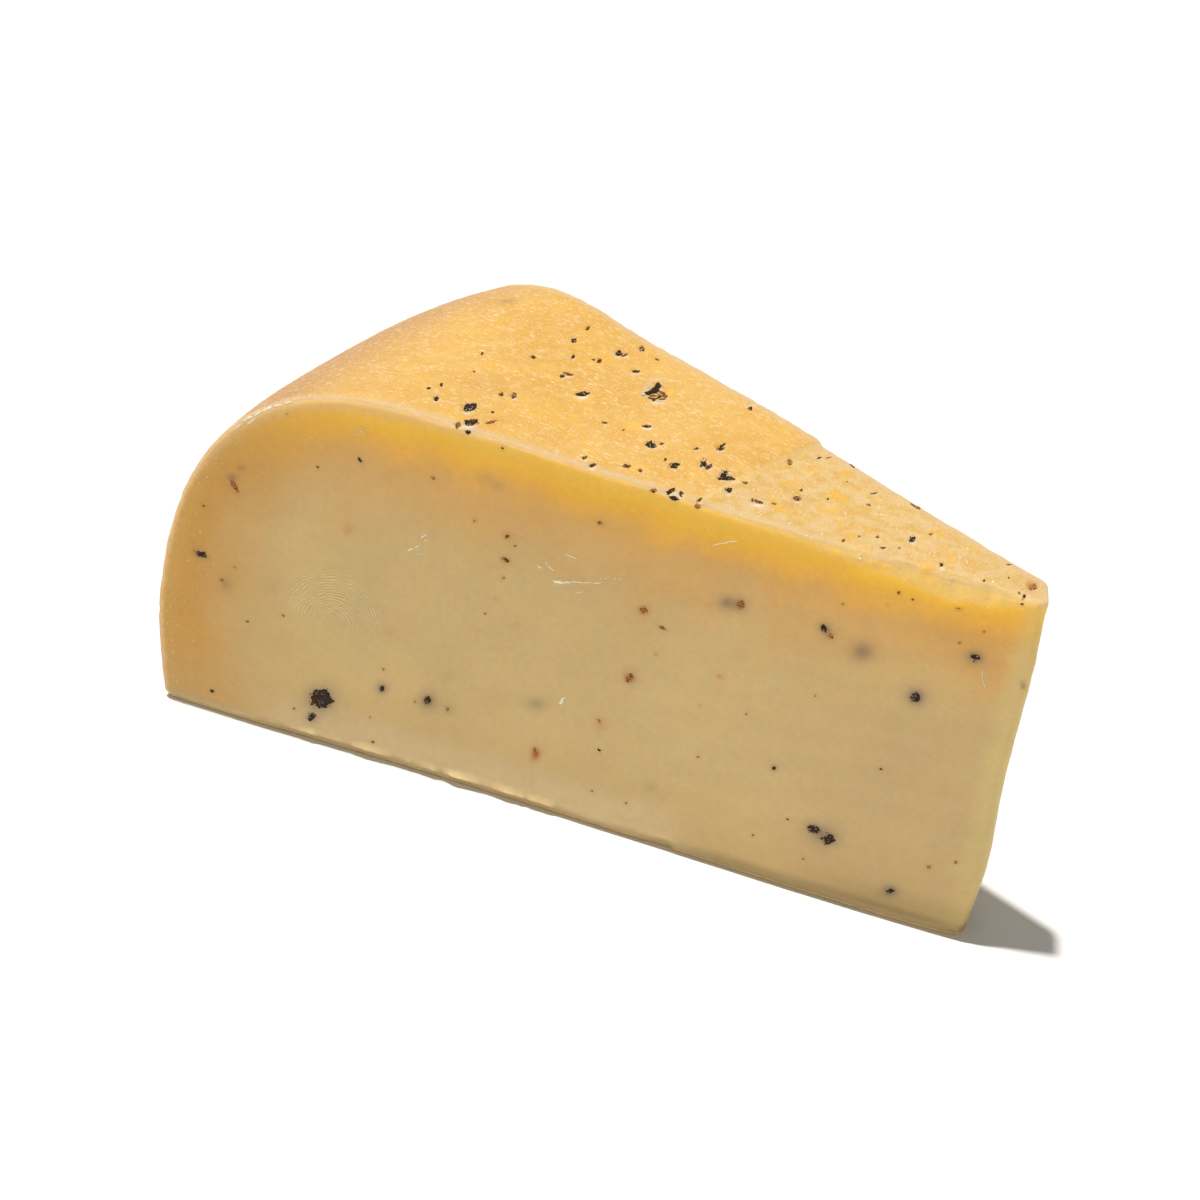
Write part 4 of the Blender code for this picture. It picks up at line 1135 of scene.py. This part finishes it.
class Graph:
    """A small helper over a material's node tree."""

    def __init__(self, name):
        self.material = bpy.data.materials.new(name)
        self.material.use_nodes = True
        self.tree = self.material.node_tree
        self.shader = self.tree.nodes["Principled BSDF"]

    def new(self, kind, **settings):
        node = self.tree.nodes.new(kind)
        for key, value in settings.items():
            setattr(node, key, value)
        return node

    def put(self, socket, value):
        if hasattr(value, "is_linked"):
            self.tree.links.new(value, socket)
        else:
            socket.default_value = value

    def attribute(self, name):
        return self.new("ShaderNodeAttribute", attribute_name=name)

    def split(self, colour):
        node = self.new("ShaderNodeSeparateColor")
        self.put(node.inputs[0], colour)
        return node.outputs

    def xyz(self, vector):
        node = self.new("ShaderNodeSeparateXYZ")
        self.put(node.inputs[0], vector)
        return node.outputs

    def join(self, x, y, z):
        node = self.new("ShaderNodeCombineXYZ")
        for socket, value in zip(node.inputs, (x, y, z)):
            self.put(socket, value)
        return node.outputs[0]

    def math(self, operation, a, b=0.0, c=0.0, clamp=False):
        node = self.new("ShaderNodeMath", operation=operation, use_clamp=clamp)
        for socket, value in zip(node.inputs, (a, b, c)):
            self.put(socket, value)
        return node.outputs[0]

    def noise(self, vector, scale, detail=3.0, rough=0.5, distortion=0.0):
        node = self.new("ShaderNodeTexNoise")
        self.put(node.inputs["Vector"], vector)
        self.put(node.inputs["Scale"], scale)
        self.put(node.inputs["Detail"], detail)
        self.put(node.inputs["Roughness"], rough)
        self.put(node.inputs["Distortion"], distortion)
        return node.outputs["Fac"]

    def ramp(self, value, low, high, to_low=0.0, to_high=1.0):
        node = self.new("ShaderNodeMapRange", interpolation_type="SMOOTHSTEP")
        self.put(node.inputs["Value"], value)
        for key, number in (("From Min", low), ("From Max", high), ("To Min", to_low), ("To Max", to_high)):
            self.put(node.inputs[key], number)
        return node.outputs[0]

    def dots(self, vector, low, high, share):
        """Separate round dots of one size, only this share of the cells holding one."""
        node = self.new("ShaderNodeTexVoronoi")
        self.put(node.inputs["Vector"], vector)
        node.inputs["Scale"].default_value = 1.0
        chosen = self.math("LESS_THAN", self.split(node.outputs["Color"])[0], share)
        return self.math("MULTIPLY", self.ramp(node.outputs["Distance"], low, high, 1.0, 0.0), chosen)

    def blend(self, value, stops):
        """Colour along a scale of stops."""
        node = self.new("ShaderNodeValToRGB")
        elements = node.color_ramp.elements
        elements[0].position, elements[0].color = stops[0]
        elements[1].position, elements[1].color = stops[-1]
        for at, colour in stops[1:-1]:
            elements.new(at).color = colour
        self.put(node.inputs[0], value)
        return node.outputs[0]

    def scaled(self, vector, x, y, z):
        node = self.new("ShaderNodeVectorMath", operation="MULTIPLY")
        self.put(node.inputs[0], vector)
        self.put(node.inputs[1], (x, y, z))
        return node.outputs[0]

    def mix(self, factor, a, b, mode="MIX"):
        node = self.new("ShaderNodeMix", data_type="RGBA", blend_type=mode)
        self.put(node.inputs[0], factor)
        self.put(node.inputs[6], a)
        self.put(node.inputs[7], b)
        return node.outputs[2]

    def bump(self, height, strength, distance, normal=None):
        node = self.new("ShaderNodeBump")
        self.put(node.inputs["Strength"], strength)
        self.put(node.inputs["Distance"], distance)
        self.put(node.inputs["Height"], height)
        if normal is not None:
            self.put(node.inputs["Normal"], normal)
        return node.outputs[0]


def flesh(g, colour, roughness, normal, weight=0.6, scale=0.0022):
    s = g.shader.inputs
    g.put(s["Base Color"], colour)
    g.put(s["Roughness"], roughness)
    g.put(s["Normal"], normal)
    s["Subsurface Weight"].default_value = weight
    s["Subsurface Radius"].default_value = (1.0, 0.55, 0.22)
    s["Subsurface Scale"].default_value = scale
    s["Specular IOR Level"].default_value = 0.35
    s["IOR"].default_value = 1.45


EDGE_PALE = lin(229, 198, 146)
BROKEN = lin(225, 191, 120)
RIND = lin(225, 177, 90)
RIND_DEEP = lin(220, 168, 75)
RIND_LIGHT = lin(230, 191, 119)
RIND_SIDE = lin(184, 134, 76)

# Paste by its distance from the rim, as shares of 40 mm: a painted glow of light
# that enters through the lit rind and scatters out of the cut, golden under the top,
# tan behind the side, both fading to the pale middle.
GLOW_UNDER_TOP = (
    (0.0, lin(224, 184, 112)), (0.015, lin(254, 205, 92)), (0.05, lin(254, 201, 78)), (0.10, lin(254, 196, 66)), (0.15, lin(246, 188, 77)), (0.20, lin(236, 183, 91)),
    (0.25, lin(228, 180, 103)), (0.33, lin(224, 181, 113)), (0.45, lin(221, 185, 122)), (0.65, lin(218, 189, 130)), (1.0, lin(217, 189, 132)),
)
GLOW_BEHIND_SIDE = (
    (0.0, lin(216, 171, 99)), (0.06, lin(216, 169, 87)), (0.10, lin(215, 165, 83)), (0.18, lin(215, 166, 87)), (0.25, lin(216, 171, 99)),
    (0.33, lin(216, 178, 113)), (0.42, lin(215, 183, 122)), (0.52, lin(216, 186, 126)), (0.65, lin(218, 190, 130)), (1.0, lin(218, 190, 132)),
)


def paste_material():
    g = Graph("paste")
    place = g.attribute("place").outputs["Vector"]
    bands = g.attribute("bands")
    band = g.split(bands.outputs["Color"])
    stains = g.attribute("stains")
    stain = g.split(stains.outputs["Color"])
    xyz = g.xyz(place)
    wide = g.noise(place, 0.07, 3.0)
    small = g.noise(place, 0.8, 3.0, 0.6)
    # painted glow under the rind: light entering through the lit top and side
    rim = g.math("MULTIPLY", band[0], 40.0)
    sway = g.math("ADD", 1.0, g.math("MULTIPLY", g.math("SUBTRACT", g.noise(place, 0.09, 3.0), 0.5), 1.1))
    depth = g.math("DIVIDE", g.math("MULTIPLY", rim, sway), 40.0)
    colour = g.mix(band[1], g.blend(depth, GLOW_UNDER_TOP), g.blend(depth, GLOW_BEHIND_SIDE))
    # painted glow: amber high towards the tip, light through the lit top edge; duller below it; paler where the tip is
    # thin, light shining through it
    tip = g.ramp(xyz[0], -26.0, -9.0)
    high = g.math("MULTIPLY", g.ramp(xyz[2], 43.0, 52.0), g.ramp(xyz[2], 54.0, 61.0, 1.0, 0.0))
    colour = g.mix(g.math("MULTIPLY", g.math("MULTIPLY", tip, high), 0.3), colour, lin(222, 166, 80))
    dull = g.math("MULTIPLY", g.ramp(xyz[0], -44.0, -18.0), g.ramp(xyz[2], 34.0, 46.0, 1.0, 0.0))
    colour = g.mix(g.math("MULTIPLY", dull, 0.5), colour, lin(206, 176, 125))
    thin_tip_glow = g.ramp(g.math("ADD", xyz[0], g.math("MULTIPLY", g.math("SUBTRACT", wide, 0.5), 3.0)), -5.5, -1.2)
    colour = g.mix(g.math("MULTIPLY", thin_tip_glow, g.ramp(xyz[2], 50.0, 62.0, 0.8, 0.45)), colour, lin(222, 199, 133))
    low = g.math("MULTIPLY", g.ramp(xyz[2], 2.0, 14.0, 1.0, 0.0), g.ramp(xyz[0], -118.0, -136.0))
    colour = g.mix(g.math("MULTIPLY", low, 0.6), colour, lin(208, 160, 88))
    foot = g.ramp(xyz[2], 1.0, 17.0, 0.55, 0.0)
    colour = g.mix(foot, colour, lin(202, 170, 112))
    torn = g.math("MULTIPLY", g.ramp(xyz[0], -134.0, -118.0), g.ramp(xyz[0], -58.0, -44.0, 1.0, 0.0))
    colour = g.mix(g.math("MULTIPLY", torn, g.ramp(xyz[2], 4.8, 10.5, 0.9, 0.0)), colour, lin(218, 193, 145))
    # painted shade: the front cut browned and darkened just above its foot on the right, where its lower edge turns
    # under
    sound = g.ramp(xyz[0], -56.0, -40.0)
    brown = g.math("MULTIPLY", sound, g.ramp(xyz[2], 1.9, 3.9, 0.3, 0.0))
    brown = g.math("ADD", brown, g.math("MULTIPLY", g.ramp(xyz[0], -34.0, -14.0), g.ramp(xyz[2], 3.6, 8.0, 0.17, 0.0)))
    brown = g.math("SUBTRACT", 1.0, brown)
    colour = g.mix(1.0, colour, g.join(brown, brown, g.math("MULTIPLY", brown, g.ramp(brown, 0.55, 0.95, 0.86, 1.0))), "MULTIPLY")
    # painted shade: the undercut below the foot edge coloured warm brown, darker on the right
    under = g.mix(sound, lin(188, 162, 118), lin(164, 139, 97))
    colour = g.mix(g.ramp(xyz[2], 1.5, 2.7, 1.0, 0.0), colour, under)
    # painted glow: the lowest strip of the undercut lightened, as light coming through the foot
    colour = g.mix(g.ramp(xyz[2], 0.2, 0.8, 1.0, 0.0), colour, lin(255, 220, 150))
    blotch = g.ramp(wide, 0.3, 0.7, 0.975, 1.02)
    colour = g.mix(1.0, colour, g.join(blotch, blotch, blotch), "MULTIPLY")
    # the crushed pale edge: wide and broken along the shoulder, thin towards the tip
    reach = g.math("ADD", 0.6, g.ramp(xyz[0], -84.0, -112.0, 0.0, 1.2))
    reach = g.math("MULTIPLY", reach, g.ramp(xyz[2], 42.0, 54.0, 0.55, 1.0))
    rag = g.math("MULTIPLY", g.math("SUBTRACT", g.noise(place, 1.1, 4.0, 0.65), 0.5), 2.4)
    crust = g.math("DIVIDE", g.math("ADD", rim, rag), reach)
    whole = g.math("SUBTRACT", 1.0, band[2])
    flaw = g.ramp(g.noise(place, 2.2, 3.0, 0.6), 0.35, 0.65, 0.35, 1.0)
    lip = g.math("MULTIPLY", g.math("MULTIPLY", g.ramp(crust, 0.5, 1.6, 0.85, 0.0), whole), flaw)
    colour = g.mix(lip, colour, EDGE_PALE)
    patch = g.ramp(g.noise(place, 0.3, 4.0, 0.6), 0.46, 0.66, 1.0, 0.4)
    broken = g.math("MULTIPLY", g.math("MULTIPLY", band[2], g.ramp(g.noise(place, 2.6, 3.0, 0.7), 0.3, 0.65, 1.0, 0.55)), patch)
    colour = g.mix(broken, colour, BROKEN)
    mottle = g.ramp(small, 0.3, 0.7, 0.972, 1.022)
    colour = g.mix(1.0, colour, g.join(mottle, mottle, mottle), "MULTIPLY")
    # fine bright specks where the knife smeared the paste near the rim
    speck = g.math("MULTIPLY", g.dots(g.scaled(place, 1.2, 1.2, 1.2), 0.08, 0.18, 0.16), g.ramp(rim, 3.0, 14.0, 0.75, 0.15))
    grit = g.math("MULTIPLY", g.ramp(g.noise(place, 2.4, 3.0, 0.7), 0.63, 0.72), g.ramp(rim, 1.0, 11.0, 0.8, 0.0))
    speck = g.math("MAXIMUM", speck, g.math("MULTIPLY", grit, g.ramp(g.noise(place, 0.25, 2.0), 0.4, 0.6, 0.25, 1.0)))
    colour = g.mix(speck, colour, lin(250, 226, 170))
    # the print of a fingertip
    dx = g.math("ADD", xyz[0], 115.9)
    dz = g.math("SUBTRACT", xyz[2], 23.4)
    away = g.math("SQRT", g.math("ADD", g.math("MULTIPLY", dx, dx), g.math("MULTIPLY", g.math("MULTIPLY", dz, dz), 0.8)))
    bend = g.math("MULTIPLY", g.noise(place, 0.35, 2.0), 1.6)
    ridge = g.math("SINE", g.math("MULTIPLY", g.math("ADD", away, bend), 2 * math.pi / 0.46))
    inside_print = g.math("MULTIPLY", g.ramp(away, 1.6, 3.0), g.ramp(away, 8.0, 11.0, 1.0, 0.0))
    inside_print = g.math("MULTIPLY", inside_print, g.math("MULTIPLY", g.ramp(dz, 0.0, 2.0), g.ramp(xyz[1], 2.0, 4.0, 1.0, 0.0)))
    inside_print = g.math("MULTIPLY", inside_print, g.ramp(g.noise(place, 0.5, 2.0), 0.35, 0.6, 0.3, 1.0))
    print_height = g.math("MULTIPLY", ridge, inside_print)
    colour = g.mix(g.math("MULTIPLY", g.ramp(print_height, 0.05, 0.85), 0.55), colour, lin(246, 226, 178))
    colour = g.mix(stain[1], colour, lin(186, 110, 50))
    colour = g.mix(g.math("MULTIPLY", stain[2], 0.8, clamp=True), colour, lin(244, 222, 172))
    colour = g.mix(stain[0], colour, lin(106, 86, 88))
    rough = g.ramp(g.noise(place, 0.5, 4.0, 0.6), 0.3, 0.7, 0.42, 0.56)
    grain = g.noise(place, 1.6, 5.0, 0.6)
    slant = g.math("ADD", xyz[2], g.math("MULTIPLY", xyz[0], 0.35))
    drag = g.noise(g.join(g.math("MULTIPLY", xyz[0], 0.05), xyz[1], g.math("MULTIPLY", slant, 1.4)), 1.0, 3.0, 0.6)
    height = g.math("ADD", g.math("MULTIPLY", grain, 0.4), g.math("MULTIPLY", drag, 0.7))
    height = g.math("ADD", height, g.math("MULTIPLY", print_height, 1.0))
    height = g.math("ADD", height, g.math("MULTIPLY", lip, 0.12))
    normal = g.bump(height, 0.5, 0.00016)
    flesh(g, colour, rough, normal, 0.6, 0.0016)
    return g.material


def rind_material():
    g = Graph("rind")
    place = g.attribute("place").outputs["Vector"]
    weave = g.xyz(g.attribute("weave").outputs["Vector"])
    bands = g.attribute("bands")
    band = g.split(bands.outputs["Color"])
    patchy = bands.outputs["Alpha"]
    stains = g.attribute("stains")
    stain = g.split(stains.outputs["Color"])
    xyz = g.xyz(place)
    upper = g.ramp(xyz[2], 25.0, 45.0)  # the fold is only on the top
    patchy = g.math("MULTIPLY", patchy, upper)
    wide = g.noise(place, 0.055, 4.0, 0.55)
    middle = g.noise(place, 0.35, 3.0, 0.55)
    fine = g.noise(place, 1.7, 4.0, 0.65)
    colour = g.mix(g.ramp(wide, 0.38, 0.62), RIND, RIND_DEEP)
    colour = g.mix(g.math("MULTIPLY", g.ramp(middle, 0.42, 0.72), 0.55), colour, RIND_LIGHT)
    colour = g.mix(g.ramp(g.noise(place, 0.13, 4.0, 0.62), 0.5, 0.64, 0.0, 0.55), colour, lin(232, 182, 74))
    colour = g.mix(g.math("MULTIPLY", g.ramp(band[1], -0.12, 0.62), 0.97), colour, RIND_SIDE)
    # the cloth: broken rows of short whitish dashes
    jog = g.new("ShaderNodeVectorMath", operation="SCALE")
    g.put(jog.inputs[0], g.new("ShaderNodeTexNoise").outputs["Color"])
    coarse = jog.inputs[0].links[0].from_node
    g.put(coarse.inputs["Vector"], place)
    coarse.inputs["Scale"].default_value = 1.3
    jog.inputs["Scale"].default_value = 0.4
    ground = g.new("ShaderNodeVectorMath", operation="ADD")
    g.put(ground.inputs[0], g.join(g.math("MULTIPLY", weave[0], 0.55), g.math("MULTIPLY", weave[1], 1.9), g.math("MULTIPLY", xyz[2], 0.3)))
    g.put(ground.inputs[1], jog.outputs[0])
    dash = g.dots(ground.outputs[0], 0.14, 0.42, 0.7)
    worn = g.ramp(g.noise(place, 0.16, 3.0, 0.6), 0.34, 0.6, 0.25, 1.0)
    calm = g.math("SUBTRACT", 1.0, g.math("MULTIPLY", patchy, 0.75))
    threads = g.math("MULTIPLY", g.math("MULTIPLY", dash, worn), calm)
    specks = g.dots(g.scaled(place, 1.5, 1.5, 1.5), 0.14, 0.34, 0.4)
    specks = g.math("MULTIPLY", specks, g.ramp(g.noise(place, 0.3, 2.0), 0.35, 0.65, 0.1, 0.75))
    dust = g.ramp(g.noise(place, 3.2, 3.0, 0.65), 0.52, 0.72, 0.0, 0.45)
    white = g.math("MAXIMUM", g.math("MULTIPLY", threads, 0.62), g.math("MAXIMUM", specks, dust))
    # right of the fold: paler and granular, with smooth yellow patches
    cloud = g.ramp(g.noise(place, 0.42, 5.0, 0.7), 0.36, 0.6)
    pale = g.mix(cloud, lin(212, 168, 86), lin(218, 187, 132))
    yellow = g.ramp(g.noise(place, 0.22, 2.0, 0.5), 0.60, 0.66)
    pale = g.mix(yellow, pale, lin(224, 174, 76))
    pale = g.mix(g.ramp(xyz[0], -22.0, 0.0, 0.0, 0.4), pale, lin(204, 168, 106))
    colour = g.mix(g.math("MULTIPLY", patchy, 0.85), colour, pale)
    colour = g.mix(white, colour, lin(250, 230, 190))
    rim = g.math("MULTIPLY", band[0], 40.0)
    lip = g.ramp(g.math("ADD", rim, g.math("MULTIPLY", fine, 3.6)), 2.0, 4.9, 0.85, 0.0)
    colour = g.mix(lip, colour, lin(217, 186, 139))
    patch = g.ramp(g.noise(place, 0.3, 4.0, 0.6), 0.46, 0.66, 1.0, 0.4)
    colour = g.mix(g.math("MULTIPLY", g.math("MULTIPLY", band[2], g.ramp(fine, 0.25, 0.7, 1.0, 0.6)), patch), colour, BROKEN)
    colour = g.mix(g.math("MULTIPLY", g.math("MULTIPLY", weave[2], upper), 0.5), colour, lin(250, 224, 160))
    colour = g.mix(stain[1], colour, lin(168, 98, 40))
    colour = g.mix(g.math("MULTIPLY", stains.outputs["Alpha"], 0.8), colour, lin(246, 190, 72))
    colour = g.mix(stain[2], colour, lin(236, 222, 204))
    colour = g.mix(g.math("MULTIPLY", stain[0], 0.9), colour, lin(124, 90, 62))
    rough = g.ramp(fine, 0.3, 0.7, 0.4, 0.62)
    height = g.math("ADD", g.math("MULTIPLY", white, 0.7), g.math("MULTIPLY", fine, 0.9))
    height = g.math("ADD", height, g.math("MULTIPLY", middle, 0.4))
    normal = g.bump(height, 0.55, 0.00024)
    flesh(g, colour, rough, normal, 0.4, 0.0008)
    return g.material


def fleck_material(name, dark, light, rough):
    g = Graph(name)
    tone = g.attribute("tone").outputs["Fac"]
    texture = g.new("ShaderNodeTexCoord").outputs["Object"]
    grain = g.noise(texture, 3500.0, 4.0, 0.65)
    colour = g.mix(g.math("MULTIPLY", g.ramp(grain, 0.35, 0.75), g.math("ADD", 0.3, tone)), dark, light)
    g.put(g.shader.inputs["Base Color"], colour)
    g.put(g.shader.inputs["Roughness"], g.ramp(grain, 0.3, 0.7, rough - 0.12, rough + 0.15))
    g.shader.inputs["Specular IOR Level"].default_value = 0.18
    g.put(g.shader.inputs["Normal"], g.bump(grain, 0.8, 0.00012))
    return g.material


def crumb_material():
    g = Graph("crumb")
    texture = g.new("ShaderNodeTexCoord").outputs["Object"]
    grain = g.noise(texture, 1800.0, 3.0, 0.6)
    tone = g.attribute("tone").outputs["Fac"]
    # whitest at tone 0, which the knife slivers carry: pale crumbs, whitened further as a painted highlight
    colour = g.mix(grain, lin(252, 234, 190), lin(255, 248, 224))
    colour = g.mix(tone, colour, lin(206, 190, 182))
    flesh(g, colour, g.ramp(grain, 0.3, 0.7, 0.4, 0.6), g.bump(grain, 0.5, 0.0001), 0.5, 0.0012)
    return g.material


# --- floor, light, camera ---------------------------------------------------------------------
def build_stage():
    bpy.ops.mesh.primitive_plane_add(size=12.0, location=(0.0, 0.0, 0.0))
    floor = bpy.context.object
    floor.name = "floor"
    g = Graph("floor_paper")
    texture = g.new("ShaderNodeTexCoord").outputs["Object"]
    tint = g.mix(g.noise(texture, 3.0), (0.84, 0.835, 0.82, 1.0), (0.85, 0.845, 0.83, 1.0))
    g.put(g.shader.inputs["Base Color"], tint)
    g.shader.inputs["Roughness"].default_value = 0.9
    g.shader.inputs["Specular IOR Level"].default_value = 0.1
    floor.data.materials.append(g.material)

    world = bpy.data.worlds.new("studio")
    bpy.context.scene.world = world
    world.use_nodes = True
    tree = world.node_tree
    back = tree.nodes["Background"]
    coord = tree.nodes.new("ShaderNodeTexCoord")
    parts = tree.nodes.new("ShaderNodeSeparateXYZ")
    ramp = tree.nodes.new("ShaderNodeMapRange")
    ramp.interpolation_type = "SMOOTHSTEP"
    ramp.inputs["From Min"].default_value = 0.05
    ramp.inputs["From Max"].default_value = 0.35
    ramp.inputs["To Min"].default_value = 1.06
    ramp.inputs["To Max"].default_value = WORLD_HIGH
    tree.links.new(coord.outputs["Generated"], parts.inputs[0])
    tree.links.new(parts.outputs[2], ramp.inputs["Value"])
    tree.links.new(ramp.outputs[0], back.inputs["Strength"])
    back.inputs["Color"].default_value = (1.0, 0.985, 0.95, 1.0)

    sun = bpy.data.objects.new("key", bpy.data.lights.new("key", "SUN"))
    sun.data.energy = KEY
    sun.data.angle = math.radians(2.4)
    sun.data.color = (1.0, 0.985, 0.96)
    sun.rotation_euler = Vector((0.262, -0.028, -1.0)).to_track_quat("-Z", "Y").to_euler()
    bpy.context.scene.collection.objects.link(sun)


KEY = 3.35
WORLD_HIGH = 0.27


def build_camera():
    data = bpy.data.cameras.new("view")
    data.lens, data.sensor_width, data.sensor_height = 90.0, 36.0, 36.0
    data.clip_start, data.clip_end = 0.01, 50.0
    camera = bpy.data.objects.new("view", data)
    right = Vector((0.95026277, 0.27231226, 0.15115128))
    down = Vector((0.26412132, -0.44741016, -0.85443788))
    ahead = Vector((-0.16504729, 0.85186277, -0.49708068))
    place = (np.array((10.49269712, -421.60843165, 287.91237568)) + SHIFT) * MM
    turn = Matrix((right, -down, -ahead)).transposed().to_4x4()
    turn.translation = Vector(place)
    camera.matrix_world = turn
    bpy.context.scene.collection.objects.link(camera)
    bpy.context.scene.camera = camera
    bpy.context.scene.view_settings.view_transform = "Standard"


build_camera()
build_stage()
body, tree = build_body()
body.data.materials.append(rind_material())
body.data.materials.append(paste_material())
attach(body, "root")
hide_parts(NODE)
black, brown, pale = build_flecks(tree)
piece("flecks_black", black, fleck_material("fleck_black", lin(38, 23, 11), lin(106, 68, 46), 0.45))
piece("flecks_brown", brown, fleck_material("fleck_brown", lin(72, 38, 24), lin(212, 134, 64), 0.5))
piece("crumbs_pale", pale, crumb_material(), smooth=True)
